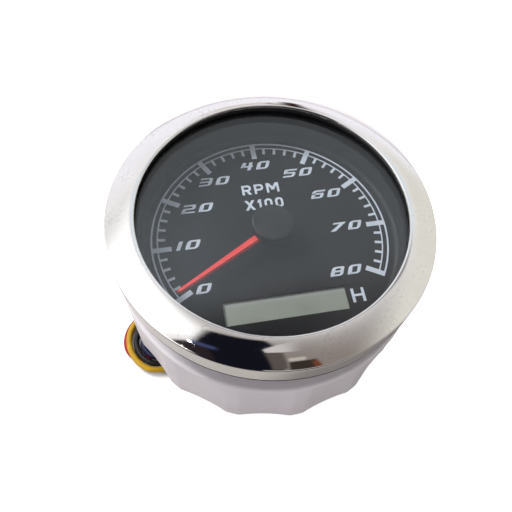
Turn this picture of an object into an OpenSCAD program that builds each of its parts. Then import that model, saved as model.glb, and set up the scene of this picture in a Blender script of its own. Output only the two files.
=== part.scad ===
// Round panel tachometer for an 85 mm hole, dial facing up, standing on its rear boss.
// Millimetres. +Z is up through the dial, +Y points at the middle mark, z = 0 is the surface it stands on.

/* [Bezel] */
// Outer diameter of the bezel at its sharp upper edge
bezel_d = 95; // [93:0.5:100]
// Outer diameter of the bezel at its foot
bezel_foot_d = 94; // [93:0.5:98]
// Opening of the bezel, inside its rolled bead
bezel_opening_d = 77.7; // [74:0.1:79]
// Height of the bezel from its foot to the top of its bead
bezel_h = 10.7; // [9.5:0.1:13]
// How far the upper edge lies below the top of the bead
bezel_drop = 3; // [2:0.1:3.4]
// Thickness of the bezel's sheet steel
bezel_sheet = 0.8; // [0.5:0.1:0.9]
// Width of the rolled bead round the opening
bezel_bead_w = 1.1; // [0.9:0.1:1.4]
// Width of the foot that is turned in under the case flange
bezel_crimp_w = 2.6; // [1.5:0.1:3.4]

/* [Lens] */
// Diameter of the glass
lens_d = 86.4; // [85:0.1:87]
// Thickness of the glass
lens_t = 2.5; // [1.5:0.1:2.8]
// Depth from the top of the bead to the upper face of the glass
lens_depth = 2.5; // [2.3:0.1:2.8]
// Wall of the gasket outside the glass
gasket_wall = 0.9; // [0.6:0.1:1]
// How far the gasket's opening stands outside the bezel's opening
gasket_reveal = 0.45; // [0.2:0.05:1]

/* [Case] */
// Outer diameter of the barrel that goes through the panel hole
barrel_d = 84; // [82:0.5:85]
// Wall of the barrel
barrel_wall = 2; // [1.5:0.1:2.2]
// Height of the barrel from its rear wall to the flange
barrel_h = 40.5; // [38:0.5:50]
// Spacing of the ridges of the barrel's thread
thread_pitch = 3; // [2:0.1:4]
// Depth of the thread below the barrel's outer diameter
thread_depth = 0.65; // [0.3:0.05:0.8]
// Plain stretch of the barrel at each end of the thread
thread_margin = 3; // [2:0.5:6]
// Gap between the edge of the flange and the inside of the bezel that is turned under it
flange_clearance = 0.25; // [0.1:0.05:0.5]
// Thickness of the flange
flange_t = 2.4; // [1.5:0.1:3]
// Thickness of the rear wall
rear_wall = 2.5; // [1.5:0.1:4]
// Diameter of the boss on the rear wall that the gauge stands on
boss_d = 48; // [44:1:52]
// Wall of the boss
boss_wall = 2.5; // [2:0.1:4]
// Height of the boss below the rear wall
boss_h = 7; // [6.8:0.1:12]
// Floor of the boss
boss_floor = 1.5; // [1:0.1:2]
// Diameter of the posts that carry the circuit board
post_d = 6; // [5:0.1:8]
// Distance of the posts from the axis
post_r = 33; // [31:0.5:34]

/* [Locking ring] */
// Outer diameter over the ridges at the top of the ring
ring_top_d = 92.6; // [91:0.1:96]
// Outer diameter over the ridges at the bottom of the ring
ring_foot_d = 90.4; // [89.6:0.1:96]
// Height of the ring
ring_h = 28.3; // [15:0.1:32]
// Height of the ring's bottom face over the rear wall's lower face
ring_lift = 0.5; // [0:0.1:2.5]
// Running clearance on the barrel, each side
ring_clearance = 0.09; // [0.02:0.01:0.1]
// Number of finger scallops
scallop_count = 14; // [10:1:18]
// Depth of a scallop below the ridges
scallop_depth = 1.25; // [0.5:0.05:1.5]
// Radius of the scallop's shallow hollow
scallop_r = 60; // [50:5:200]
// Height of the plain round collar above the scallops
ring_collar_h = 1.6; // [1.2:0.1:4]
// Turn of the first scallop from +X, in degrees
scallop_turn = 1.9; // [0:0.1:25]

/* [Panel gasket] */
// Thickness of the rubber ring under the bezel's foot
panel_gasket_t = 1.1; // [0.6:0.1:2]
// Its outer diameter
panel_gasket_d = 93.2; // [90:0.1:93.6]

/* [Dial] */
// Depth from the underside of the glass to the face of the dial
dial_depth = 10.4; // [9.6:0.1:12]
// Thickness of the dial plate
dial_t = 0.8; // [0.5:0.1:1]
// Thickness of the trim ring's flange under the glass
trim_flange_t = 0.8; // [0.6:0.1:1.2]
// Inner diameter of the trim ring at the top
trim_top_d = 78.6; // [77.5:0.1:78.8]
// Inner diameter of the trim ring above its fillet
trim_foot_d = 77.6; // [76:0.1:78.4]
// Radius of the fillet where the trim ring runs into the dial
trim_fillet = 1.5; // [0.5:0.1:3]
// Thickness of the printed marks
print_t = 0.06; // [0.04:0.01:0.2]
// Turn of the scale from the first to the last mark, in degrees
sweep = 240; // [180:10:270]
// Number of numbered steps on the scale
steps = 8; // [4:1:8]
// Number of fine divisions in one step
fine = 5; // [2:1:5]
// Radius of the outer arc's centre line
outer_arc_r = 35.6; // [30:0.1:36.2]
// Radius of the inner arc's centre line
inner_arc_r = 33.9; // [28:0.1:34.5]
// Radius where the long marks end
major_r = 29.9; // [27:0.1:31]
// Width of a long mark
major_w = 1.6; // [1:0.1:2]
// Length of a fine mark
minor_l = 2.3; // [1:0.1:3]
// Width of a fine mark
minor_w = 0.8; // [0.4:0.1:1]
// Height of the numerals
numeral_h = 3; // [2.5:0.1:4]
// Width of one numeral
numeral_w = 3.9; // [3:0.1:4.4]
// Width of a numeral's upright strokes
numeral_stroke = 1.2; // [0.6:0.1:1.4]
// Width of a numeral's level strokes
numeral_thin = 0.55; // [0.4:0.05:0.8]

/* [Display] */
// Width of the display window
window_w = 36; // [30:0.5:38]
// Height of the display window
window_h = 7.6; // [5:0.1:8]
// Distance of the window's centre below the dial's centre
window_y = 23.5; // [22:0.1:25]
// Thickness of the display's glass
display_t = 2.2; // [1.5:0.1:2.5]
// Margin of the display's glass round the window
display_margin = 2; // [1.6:0.1:3]
// Wall of the frame that holds the display
display_wall = 1.4; // [1:0.1:2]
// Gap between the display's glass and its frame, each side
display_clearance = 0.1; // [0.05:0.05:0.2]
// Width of the frame's ledge under the glass
display_ledge = 1; // [0.5:0.1:1.5]
// Width of each contact strip
strip_w = 1.4; // [1:0.1:2]
// Gap between a contact strip and the backlight
strip_gap = 0.4; // [0.2:0.1:0.8]
// Gap between a contact strip's end and the frame
strip_end_gap = 0.2; // [0.1:0.1:0.6]

/* [Pointer] */
// Radius from the shaft to the pointer's tip
pointer_r = 34.4; // [28:0.1:36]
// Width of the pointer at the cap
pointer_root_w = 2.6; // [1.5:0.1:4]
// Width of the pointer at its tip
pointer_tip_w = 1.3; // [0.6:0.1:2]
// Thickness of the pointer's blade
pointer_t = 1.1; // [0.6:0.1:1.6]
// Height of the blade's lower face over the dial
pointer_lift = 4.4; // [3.5:0.1:5]
// Diameter of the black cap
cap_d = 12.4; // [9:0.1:14]
// Height of the cap
cap_h = 3.8; // [3.2:0.1:4.5]
// Height of the cap's lower edge over the dial
cap_lift = 4.4; // [3.5:0.1:5]

/* [Movement] */
// Tooth size of the gears
gear_module = 0.25; // [0.25:0.01:0.3]
// Teeth on each small gear
pinion_teeth = 10; // [10:1:12]
// Teeth on each large gear
wheel_teeth = 60; // [50:1:62]
// Thinning of each tooth for backlash
backlash = 0.07; // [0.05:0.01:0.1]
// Thickness of a large gear
wheel_t = 0.7; // [0.5:0.1:0.8]
// Distance of the rotor's axis from the shaft's axis
rotor_y = 11; // [10.5:0.1:12]
// Inner height of the movement's case
movement_inner_h = 6.4; // [6.4:0.1:8]
// Wall of the movement's case
movement_wall = 0.8; // [0.6:0.1:1.2]
// Diameter of the shaft that carries the pointer
shaft_d = 1.5; // [1.2:0.1:2]
// Diameter of the gears' thin pivots
pivot_d = 1; // [0.8:0.1:1.1]
// Running clearance round shaft and pivots, each side
pivot_clearance = 0.05; // [0.02:0.01:0.08]
// Diameter of the rotor's magnet
magnet_d = 6.4; // [5:0.1:6.6]

/* [Circuit board] */
// Diameter of the board
board_d = 77; // [75:0.5:78]
// Thickness of the board
board_t = 1.6; // [1:0.1:2]
// Height from the board's upper face to the dial's lower face
board_depth = 6; // [5.6:0.1:8]
// Number of lamps on the board
lamp_count = 8; // [4:1:10]
// Diameter of the screws that hold the board
screw_d = 2.4; // [2:0.1:3]

/* [Board parts] */
// Side of the square control chip
chip_side = 10; // [7:0.5:12]
// Thickness of the control chip
chip_t = 1.5; // [1:0.1:2]
// Place of the control chip's corner nearest the centre line, to the right of the axis
chip_x = 12; // [8:0.5:16]
// How far the control chip's lower edge lies below the axis
chip_y = 25; // [22:0.5:27]
// Diameter of the capacitor
capacitor_d = 6.3; // [5:0.1:8]
// Height of the capacitor
capacitor_h = 8; // [6:0.5:11]
// How far the capacitor stands to the left of the axis
capacitor_x = 21; // [18:0.5:23]
// How far the capacitor stands below the axis
capacitor_y = 19; // [17:0.5:22]
// Width of the voltage regulator
regulator_w = 6.6; // [5:0.1:8]
// Length of the voltage regulator
regulator_l = 6.2; // [5:0.1:8]
// Thickness of the voltage regulator
regulator_t = 2.3; // [1.5:0.1:3]
// How far the voltage regulator's left edge lies to the left of the axis
regulator_x = 5; // [0:0.5:8]
// How far the voltage regulator's lower edge lies below the axis
regulator_y = 24; // [20:0.5:27]
// Spacing of the plug's four contacts
header_pitch = 2.54; // [2:0.01:3]
// Width of the plug socket
header_w = 5.8; // [5:0.1:7]
// Height of the plug socket
header_h = 7; // [5:0.1:10]
// Wall of the plug socket
header_wall = 0.8; // [0.5:0.1:1]
// How far the plug socket's far wall lies to the left of the axis
header_x = 28; // [26:0.5:30]
// How far the plug socket's lower end lies below the axis
header_y = 7; // [5:0.5:9]
// Length of a lamp
lamp_l = 2.8; // [1.6:0.1:3.5]
// Width of a lamp
lamp_w = 1.6; // [0.8:0.1:2]
// Height of a lamp
lamp_h = 1; // [0.6:0.1:2]
// Distance of the lamps from the axis
lamp_r = 26; // [20:0.5:30]
// Length of a board screw below its head
screw_l = 8; // [5:0.5:9]
// Diameter of a board screw's head
screw_head_d = 4.6; // [4:0.1:5.4]
// Height of a board screw's head
screw_head_h = 1.6; // [1.2:0.1:2.2]

/* [Wires] */
// Diameter of a wire over its insulation
wire_d = 1.9; // [1.6:0.1:1.9]
// Diameter of the bare tinned end
bare_d = 1; // [0.6:0.1:1.2]
// Length of the bare tinned end
bare_l = 6; // [3:0.5:8]
// Distance between the wires where they leave the grommet
wire_pitch = 2.4; // [2.1:0.1:2.7]
// Height of the wires where they leave the grommet
wire_exit_z = 3.4; // [3.2:0.1:3.6]
// How far the grommet stands out from the boss
grommet_proud = 1.5; // [1:0.1:2.5]
// Rubber round the wires at each end of the grommet
grommet_end = 1.4; // [1:0.1:2]
// Rubber above and below the wires
grommet_wall = 1.25; // [0.8:0.05:1.4]

/* [Hidden] */
// Every node that "node" can name
$fn = 96;
// Gap between solids that touch
touch = 0.02;
// Overlap of forms that are joined into one solid
weld = 0.1;
// How far a cut runs past the face that it opens
cut_past = 1;

// Heights, worked up from the surface that the gauge stands on
rear_z = boss_h;
inner_floor_z = rear_z + rear_wall;
flange_z = rear_z + barrel_h;
bezel_foot_z = flange_z - bezel_sheet;
bezel_top_z = bezel_foot_z + bezel_h;
bezel_edge_z = bezel_top_z - bezel_drop;
lens_top_z = bezel_top_z - lens_depth;
lens_z = lens_top_z - lens_t;
trim_flange_z = lens_z - trim_flange_t;
dial_face_z = lens_z - dial_depth;
dial_z = dial_face_z - dial_t;
board_top_z = dial_z - board_depth;
board_z = board_top_z - board_t;
ring_z = rear_z + ring_lift;
panel_gasket_z = bezel_foot_z - panel_gasket_t;

// Radii
bore_r = barrel_d / 2 - barrel_wall;
bead_r = bezel_bead_w / 2;
bead_centre_r = bezel_opening_d / 2 + bead_r;
bead_centre_z = bezel_top_z - bead_r;
gasket_r = bezel_opening_d / 2 + gasket_reveal;
gasket_outer_r = lens_d / 2 + touch + gasket_wall;
slope_start_r = bead_centre_r + bead_r;
corner_r = 0.4;
slope_end_r = bezel_d / 2 - corner_r;
insert_r = bore_r - 0.2;

// Height of the bezel's upper face at radius r: level beside the bead, then falling faster towards the edge
function slope_z(r) = bezel_top_z - 0.25
    - (bezel_drop - 0.25) * pow(max(0, r - slope_start_r) / (slope_end_r - slope_start_r), 1.5);
// Outer radius of the bezel's side at height z
function side_r(z) = bezel_foot_d / 2
    + (bezel_d - bezel_foot_d) / 2 * (z - bezel_foot_z) / (bezel_edge_z - bezel_foot_z);
flange_r = min(side_r(flange_z), side_r(flange_z + flange_t)) - bezel_sheet - flange_clearance;
// Points on an arc in the section plane, from angle a to angle b
function arc(x, z, r, a, b, n) = [for (i = [0:n])
    let (turn = a + (b - a) * i / n) [x + r * cos(turn), z + r * sin(turn)]];

// Straight bar between two points of the dial face
module bar(from, to, w) {
    length = norm(to - from);
    turn = atan2(to[1] - from[1], to[0] - from[0]);
    translate(from) rotate(turn) translate([0, -w / 2]) square([length, w]);
}

// Flat ring with a square section
module band(r_in, r_out, z, h) {
    difference() {
        translate([0, 0, z]) cylinder(r = r_out, h = h);
        translate([0, 0, z - cut_past]) cylinder(r = r_in, h = h + 2 * cut_past);
    }
}

module bezel() {
    slope_steps = 12;
    outer_slope = [for (i = [0:slope_steps])
        let (r = slope_start_r + (slope_end_r - slope_start_r) * i / slope_steps) [r, slope_z(r)]];
    inner_top_r = side_r(bezel_edge_z) - bezel_sheet - corner_r;
    inner_slope = [for (i = [slope_steps:-1:0])
        let (r = slope_start_r + (inner_top_r - slope_start_r) * i / slope_steps) [r, slope_z(r) - bezel_sheet]];
    bead_turn = [290, 40];
    corner_turn = 80;
    bead = arc(bead_centre_r, bead_centre_z, bead_r, bead_turn[0], bead_turn[1], 16);
    corner = arc(bezel_d / 2 - corner_r, bezel_edge_z - corner_r, corner_r, corner_turn, 0, 5);
    foot = arc(bezel_foot_d / 2 - corner_r, bezel_foot_z + corner_r, corner_r, 0, -90, 5);
    crimp_r = bezel_foot_d / 2 - bezel_crimp_w;
    inside = [
        [crimp_r, bezel_foot_z],
        [crimp_r, flange_z],
        [side_r(flange_z) - bezel_sheet, flange_z],
        [side_r(bezel_edge_z) - bezel_sheet, bezel_edge_z - bezel_sheet - corner_r]
    ];
    color("gainsboro") rotate_extrude() polygon(concat(bead, outer_slope, corner, foot, inside, inner_slope));
}

module lens() {
    color("lightcyan", 0.35) translate([0, 0, lens_z]) cylinder(d = lens_d, h = lens_t);
}

// Rubber ring that wraps the glass's edge and follows the underside of the bezel
module lens_gasket() {
    top_steps = 6;
    lip_top_z = bezel_top_z - bezel_bead_w - touch;
    follow = [for (i = [0:top_steps])
        let (r = slope_start_r + 0.1 + (gasket_outer_r - slope_start_r - 0.1) * i / top_steps)
        [r, min(lip_top_z, slope_z(r) - bezel_sheet - touch)]];
    section = concat([[gasket_r, lens_top_z], [gasket_r, lip_top_z]], follow,
        [[gasket_outer_r, lens_z], [lens_d / 2 + touch, lens_z], [lens_d / 2 + touch, lens_top_z]]);
    color("black") rotate_extrude() polygon(section);
}

// Black wall between the glass and the dial, with a flange that lies on the case's rim
module trim_ring() {
    foot_r = trim_foot_d / 2;
    fillet_top_z = dial_face_z + trim_fillet;
    fillet_turn = -84;
    fillet = arc(foot_r - trim_fillet, fillet_top_z, trim_fillet, 0, fillet_turn, 8);
    section = concat(
        [[gasket_outer_r, lens_z], [trim_top_d / 2, lens_z]],
        fillet,
        [[foot_r - trim_fillet, dial_face_z], [insert_r, dial_face_z],
        [insert_r, trim_flange_z], [gasket_outer_r, trim_flange_z]]);
    color([0.12, 0.12, 0.13]) rotate_extrude() polygon(section);
}

module dial_plate() {
    shaft_hole_r = shaft_d / 2 + 1.2;
    color([0.2, 0.2, 0.21]) difference() {
        translate([0, 0, dial_z]) cylinder(r = insert_r, h = dial_t);
        translate([0, 0, dial_z - cut_past]) cylinder(r = shaft_hole_r, h = dial_t + 2 * cut_past);
        translate([-window_w / 2, -window_y - window_h / 2, dial_z - cut_past])
            cube([window_w, window_h, dial_t + 2 * cut_past]);
    }
}

// One numeral from straight strokes, centred on the origin: a sloping figure with the strokes that on[] names
module numeral(figure) {
    strokes = [
        [1, 1, 1, 0, 1, 1, 1],
        [0, 0, 1, 0, 0, 1, 0],
        [1, 0, 1, 1, 1, 0, 1],
        [1, 0, 1, 1, 0, 1, 1],
        [0, 1, 1, 1, 0, 1, 0],
        [1, 1, 0, 1, 0, 1, 1],
        [1, 1, 0, 1, 1, 1, 1],
        [1, 0, 1, 0, 0, 1, 0],
        [1, 1, 1, 1, 1, 1, 1]
    ];
    half = numeral_stroke / 2;
    thin = numeral_thin / 2;
    x = numeral_w / 2 - half;
    y = numeral_h / 2 - thin;
    slope = 0.42;
    function lean(p) = [p[0] + slope * p[1], p[1]];
    function block(x0, y0, x1, y1) = [lean([x0, y0]), lean([x1, y0]), lean([x1, y1]), lean([x0, y1])];
    blocks = [
        block(-x - half, y - thin, x + half, y + thin),
        block(-x - half, -thin, -x + half, y + thin),
        block(x - half, -thin, x + half, y + thin),
        block(-x - half, -thin, x + half, thin),
        block(-x - half, -y - thin, -x + half, thin),
        block(x - half, -y - thin, x + half, thin),
        block(-x - half, -y - thin, x + half, -y + thin)
    ];
    for (i = [0:6]) if (strokes[figure][i] == 1) polygon(blocks[i]);
}

// A number of one or two figures
module number(step) {
    gap = 1.35;
    if (step == 0) numeral(0);
    if (step > 0) {
        translate([-(numeral_w + gap) / 2, 0]) numeral(step);
        translate([(numeral_w + gap) / 2, 0]) numeral(0);
    }
}

// Arcs, marks and numbers, a thin layer on the dial
module dial_print() {
    first = 90 + sweep / 2;
    step_turn = sweep / steps;
    outer_half = 0.27;
    inner_half = 0.2;
    // Radius of the numbers' centres beside the shaft, and how much farther out the one above it stands
    number_r = major_r - 5.6;
    number_rise = 2.8;
    color([0.72, 0.75, 0.8]) {
        translate([0, 0, dial_face_z]) rotate([0, 0, 90 - sweep / 2]) {
            for (line = [[outer_arc_r, outer_half], [inner_arc_r, inner_half]])
                rotate_extrude(angle = sweep) translate([line[0] - line[1], 0]) square([2 * line[1], print_t]);
        }
        translate([0, 0, dial_face_z]) linear_extrude(print_t) {
            for (i = [0:steps]) rotate(first - i * step_turn)
                bar([major_r, 0], [outer_arc_r + outer_half, 0], major_w);
            for (i = [0:steps - 1], j = [1:fine - 1]) rotate(first - (i + j / fine) * step_turn)
                bar([inner_arc_r - minor_l, 0], [inner_arc_r, 0], minor_w);
            for (i = [0:steps]) {
                turn = first - i * step_turn;
                r = number_r + number_rise * pow(sin(turn), 2);
                translate([r * cos(turn), r * sin(turn)]) number(i);
            }
        }
    }
}

pointer_turn = 90 + sweep / 2;
blade_z = dial_face_z + pointer_lift;
cap_z = dial_face_z + cap_lift;
cap_wall = 0.8;
cap_roof = 1.6;
cap_inner_r = cap_d / 2 - cap_wall;
stem_r = shaft_d / 2 + 1;
stem_z = dial_face_z + 1;
shaft_top_z = blade_z + pointer_t - 0.1;

module pointer() {
    hub_r = cap_inner_r - 0.05;
    hole_r = shaft_d / 2 + touch;
    blade = [
        [0, -pointer_root_w / 2], [pointer_r - 1, -pointer_tip_w / 2], [pointer_r, -pointer_tip_w * 0.3],
        [pointer_r, pointer_tip_w * 0.3], [pointer_r - 1, pointer_tip_w / 2], [0, pointer_root_w / 2]
    ];
    color("tomato") rotate([0, 0, pointer_turn]) difference() {
        union() {
            translate([0, 0, blade_z]) linear_extrude(pointer_t) polygon(blade);
            translate([0, 0, blade_z]) cylinder(r = hub_r, h = pointer_t);
            translate([0, 0, stem_z]) cylinder(r = stem_r, h = blade_z - stem_z + pointer_t / 2);
        }
        translate([0, 0, stem_z - cut_past]) cylinder(r = hole_r, h = shaft_top_z + touch - stem_z + cut_past);
    }
}

module pointer_cap() {
    roof_z = cap_z + cap_h - cap_roof;
    edge = 0.5;
    slot_w = pointer_root_w + 0.1;
    seat_z = blade_z + pointer_t;
    color([0.1, 0.1, 0.11]) rotate([0, 0, pointer_turn]) difference() {
        rotate_extrude() polygon([
            [0, seat_z], [cap_inner_r, seat_z], [cap_inner_r, cap_z], [cap_d / 2, cap_z],
            [cap_d / 2, cap_z + cap_h - edge], [cap_d / 2 - edge, cap_z + cap_h], [0, cap_z + cap_h]
        ]);
        translate([0, -slot_w / 2, cap_z - cut_past]) cube([cap_d, slot_w, seat_z - cap_z + cut_past]);
    }
}

// Size of the pocket for the display, and heights of what is in it
display_w = window_w + 2 * display_margin;
display_h = window_h + 2 * display_margin;
pocket_w = display_w + 2 * display_clearance;
pocket_h = display_h + 2 * display_clearance;
frame_w = pocket_w + 2 * display_wall;
frame_h = pocket_h + 2 * display_wall;
display_z = dial_z - display_t - display_clearance;
cavity_w = display_w - 2 * display_ledge;
cavity_h = display_h - 2 * display_ledge;
strip_l = cavity_w - 2 * strip_end_gap;

// Milky plate with a rim that stands on the board and carries the dial
module light_guide() {
    plate_t = 1.5;
    rim_w = 1.6;
    rim_r = board_d / 2;
    hub_r = 3.5;
    frame_gap = 0.2;
    color("whitesmoke") difference() {
        union() {
            translate([0, 0, dial_z - plate_t]) cylinder(r = insert_r, h = plate_t);
            translate([0, 0, board_top_z]) cylinder(r = rim_r, h = dial_z - board_top_z);
        }
        translate([0, 0, board_top_z - cut_past])
            cylinder(r = rim_r - rim_w, h = dial_z - board_top_z + cut_past - plate_t);
        translate([0, 0, board_top_z - cut_past]) cylinder(r = hub_r, h = board_depth + 2 * cut_past);
        translate([-frame_w / 2 - frame_gap, -window_y - frame_h / 2 - frame_gap, board_top_z - cut_past])
            cube([frame_w + 2 * frame_gap, frame_h + 2 * frame_gap, board_depth + 2 * cut_past]);
    }
}

module display_glass() {
    color([0.5, 0.56, 0.5]) translate([-display_w / 2, -window_y - display_h / 2, display_z])
        cube([display_w, display_h, display_t]);
}

module display_frame() {
    color([0.16, 0.16, 0.17]) translate([0, -window_y, 0]) difference() {
        translate([-frame_w / 2, -frame_h / 2, board_top_z]) cube([frame_w, frame_h, dial_z - board_top_z]);
        translate([-pocket_w / 2, -pocket_h / 2, display_z]) cube([pocket_w, pocket_h, board_depth]);
        translate([-cavity_w / 2, -cavity_h / 2, board_top_z - cut_past]) cube([cavity_w, cavity_h, board_depth]);
    }
}

module display_backlight() {
    light_h = cavity_h - 2 * strip_w - 2 * strip_gap;
    color("ghostwhite") translate([-strip_l / 2, -window_y - light_h / 2, board_top_z])
        cube([strip_l, light_h, display_z - board_top_z]);
}

// Rubber strips that join the display's glass to the board
module contact_strips() {
    color("pink") for (side = [-1, 1]) {
        y = side * (cavity_h - strip_w) / 2;
        translate([-strip_l / 2, -window_y + y - strip_w / 2, board_top_z])
            cube([strip_l, strip_w, display_z - board_top_z]);
    }
}

// Places of the three board screws, one above the dial's centre
screw_turns = [90, 210, 330];
movement_y = rotor_y / 2;
pin_places = [for (x = [-4.5, -1.5, 1.5, 4.5]) [x, rotor_y + 7.2]];
pin_d = 0.7;

module circuit_board() {
    shaft_hole_r = 3;
    hole_gap = 0.2;
    cut_h = board_t + 2 * cut_past;
    color([0.1, 0.35, 0.2]) difference() {
        translate([0, 0, board_z]) cylinder(d = board_d, h = board_t);
        translate([0, 0, board_z - cut_past]) cylinder(r = shaft_hole_r, h = cut_h);
        for (turn = screw_turns) rotate([0, 0, turn]) translate([post_r, 0, board_z - cut_past])
            cylinder(d = screw_d + hole_gap, h = cut_h);
        for (place = pin_places)
            translate([place[0], place[1], board_z - cut_past]) cylinder(d = pin_d + hole_gap, h = cut_h);
    }
}

// White lamps that light the dial from below
module lamps() {
    spread = 220;
    step = spread / (lamp_count - 1);
    color("lightyellow") for (i = [0:lamp_count - 1]) rotate([0, 0, 90 - spread / 2 + step * i])
        translate([lamp_r - lamp_w / 2, -lamp_l / 2, board_top_z]) cube([lamp_w, lamp_l, lamp_h]);
}

module control_chip() {
    color([0.13, 0.13, 0.14]) translate([chip_x, -chip_y, board_z - chip_t])
        cube([chip_side, chip_side, chip_t]);
}

module capacitor() {
    color([0.25, 0.27, 0.33]) translate([-capacitor_x, -capacitor_y, board_z - capacitor_h])
        cylinder(d = capacitor_d, h = capacitor_h);
}

module voltage_regulator() {
    color([0.15, 0.15, 0.16]) translate([-regulator_x, -regulator_y, board_z - regulator_t])
        cube([regulator_w, regulator_l, regulator_t]);
}

// Plug socket on the board where the wires end inside the case
module wire_header() {
    header_l = 4 * header_pitch + 2 * header_wall;
    slot_floor = 1.5;
    color("ivory") translate([-header_x, -header_y, board_z - header_h]) difference() {
        cube([header_w, header_l, header_h]);
        translate([header_wall, header_wall, -cut_past])
            cube([header_w - 2 * header_wall, header_l - 2 * header_wall, header_h - slot_floor + cut_past]);
    }
}

module board_screws() {
    recess_d = 1.6;
    recess_depth = 0.9;
    color("silver") for (turn = screw_turns) rotate([0, 0, turn]) translate([post_r, 0, 0]) difference() {
        union() {
            translate([0, 0, board_top_z - screw_l]) cylinder(d = screw_d, h = screw_l + weld);
            translate([0, 0, board_top_z]) cylinder(d = screw_head_d, h = screw_head_h);
        }
        translate([0, 0, board_top_z + screw_head_h - recess_depth])
            cylinder(d = recess_d, h = recess_depth + cut_past, $fn = 6);
    }
}

// Movement: a stepping motor and two pairs of gears that turn the pointer slowly
mesh_gap = 0.04;
centre_distance = gear_module * (pinion_teeth + wheel_teeth) / 2 + mesh_gap;
middle_x = -sqrt(centre_distance * centre_distance - movement_y * movement_y);
// Height of a tooth above and below the pitch circle, and its pressure angle
wheel_addendum = 0.8 * gear_module;
pinion_addendum = 0.9 * gear_module;
dedendum = 1.25 * gear_module;
pressure_angle = 20;
wheel_tip_r = gear_module * wheel_teeth / 2 + wheel_addendum;
pinion_tip_r = gear_module * pinion_teeth / 2 + pinion_addendum;
wheel_wall_gap = 0.35;
movement_inner_r = -middle_x + wheel_tip_r + wheel_wall_gap;
movement_outer_r = movement_inner_r + movement_wall;
cover_t = movement_wall;
cover_z = board_z - cover_t;
movement_floor_z = cover_z - movement_inner_h;
movement_z = movement_floor_z - movement_wall;
foot_h = 0.9;
bush_h = 0.5;
bush_r = 1.5;
pivot_r = pivot_d / 2;
shaft_pivot_r = 0.6;
// How far a pivot's hole runs into the floor and the pivot into the cover, and the air over the pivot's end
pivot_reach = 0.3;
pivot_end_gap = 0.1;
// Heights of the two gear levels over the movement's floor
level_gap = 0.3;
magnet_gap = 0.2;
level_a_z = movement_floor_z + 3.6;
level_b_z = level_a_z + wheel_t + level_gap;
magnet_z = movement_floor_z + foot_h + magnet_gap;
magnet_h = 2.3;
middle_axis = [middle_x, movement_y];
rotor_axis = [0, rotor_y];

// Involute: how far the curve has turned from the axis at radius r, in degrees
function involute_turn(base_r, r) = let (a = acos(min(1, base_r / r))) tan(a) * 180 / PI - a;
// Half the angle of a tooth at radius r
function tooth_half(teeth, pitch_r, base_r, r) = 90 / teeth - backlash / 2 / pitch_r * 180 / PI
    + involute_turn(base_r, pitch_r) - involute_turn(base_r, max(base_r, r));

// Outline of a spur gear with involute flanks, one tooth on the +X axis
module gear_outline(teeth, tip_r) {
    pitch_r = gear_module * teeth / 2;
    base_r = pitch_r * cos(pressure_angle);
    root_r = pitch_r - dedendum;
    flank_steps = 4;
    start_r = max(base_r, root_r);
    pitch = 360 / teeth;
    radii = [for (i = [0:flank_steps]) start_r + (tip_r - start_r) * i / flank_steps];
    polygon([for (t = [0:teeth - 1]) each concat(
        [let (a = t * pitch - tooth_half(teeth, pitch_r, base_r, start_r)) root_r * [cos(a), sin(a)]],
        [for (r = radii) let (a = t * pitch - tooth_half(teeth, pitch_r, base_r, r)) r * [cos(a), sin(a)]],
        [for (i = [flank_steps:-1:0]) let (r = radii[i], a = t * pitch + tooth_half(teeth, pitch_r, base_r, r))
            r * [cos(a), sin(a)]],
        [let (a = t * pitch + tooth_half(teeth, pitch_r, base_r, start_r)) root_r * [cos(a), sin(a)]]
    )]);
}

module gear(teeth, tip_r, z, h, turn) {
    translate([0, 0, z]) rotate([0, 0, turn]) linear_extrude(h) gear_outline(teeth, tip_r);
}

// Turn that sets a gear's gap where its neighbour's tooth points
line_turn = atan2(movement_y, middle_x);
back_turn = line_turn + 180;
middle_pinion_turn = back_turn + 180 / pinion_teeth;
rotor_line = atan2(rotor_y - movement_y, -middle_x);
rotor_pinion_turn = rotor_line + 180 + 180 / pinion_teeth;

module movement_base() {
    ledge_w = 1.6;
    ledge_l = 2;
    ledge_x = 12.4;
    color([0.2, 0.2, 0.22]) difference() {
        union() {
            difference() {
                translate([0, movement_y, movement_z]) cylinder(r = movement_outer_r, h = cover_z - movement_z);
                translate([0, movement_y, movement_floor_z])
                    cylinder(r = movement_inner_r, h = movement_inner_h + cut_past);
            }
            for (axis = [[0, 0], middle_axis, rotor_axis])
                translate([axis[0], axis[1], movement_floor_z - weld]) cylinder(r = bush_r, h = foot_h + weld);
            for (side = [-1, 1])
                translate([side * ledge_x - ledge_w / 2, rotor_y - ledge_l / 2, movement_floor_z - weld])
                    cube([ledge_w, ledge_l, stator_z - movement_floor_z + weld]);
        }
        translate([0, 0, movement_floor_z - pivot_reach])
            cylinder(r = shaft_pivot_r + pivot_clearance, h = foot_h + cut_past);
        for (axis = [middle_axis, rotor_axis])
            translate([axis[0], axis[1], movement_floor_z - pivot_reach])
                cylinder(r = pivot_r + pivot_clearance, h = foot_h + cut_past);
    }
}

module movement_cover() {
    pin_gap = 0.1;
    cut_h = cover_t + 2 * cut_past;
    color([0.25, 0.25, 0.27]) difference() {
        union() {
            translate([0, movement_y, cover_z]) cylinder(r = movement_outer_r, h = cover_t);
            for (axis = [[0, 0], middle_axis, rotor_axis])
                translate([axis[0], axis[1], cover_z - bush_h]) cylinder(r = bush_r, h = bush_h + weld);
        }
        translate([0, 0, cover_z - cut_past]) cylinder(r = shaft_d / 2 + pivot_clearance, h = cut_h);
        for (axis = [middle_axis, rotor_axis])
            translate([axis[0], axis[1], cover_z - bush_h - cut_past])
                cylinder(r = pivot_r + pivot_clearance, h = bush_h + cut_past + pivot_reach + pivot_end_gap);
        for (place = pin_places)
            translate([place[0], place[1], cover_z - cut_past]) cylinder(d = pin_d + pin_gap, h = cut_h);
    }
}

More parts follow.
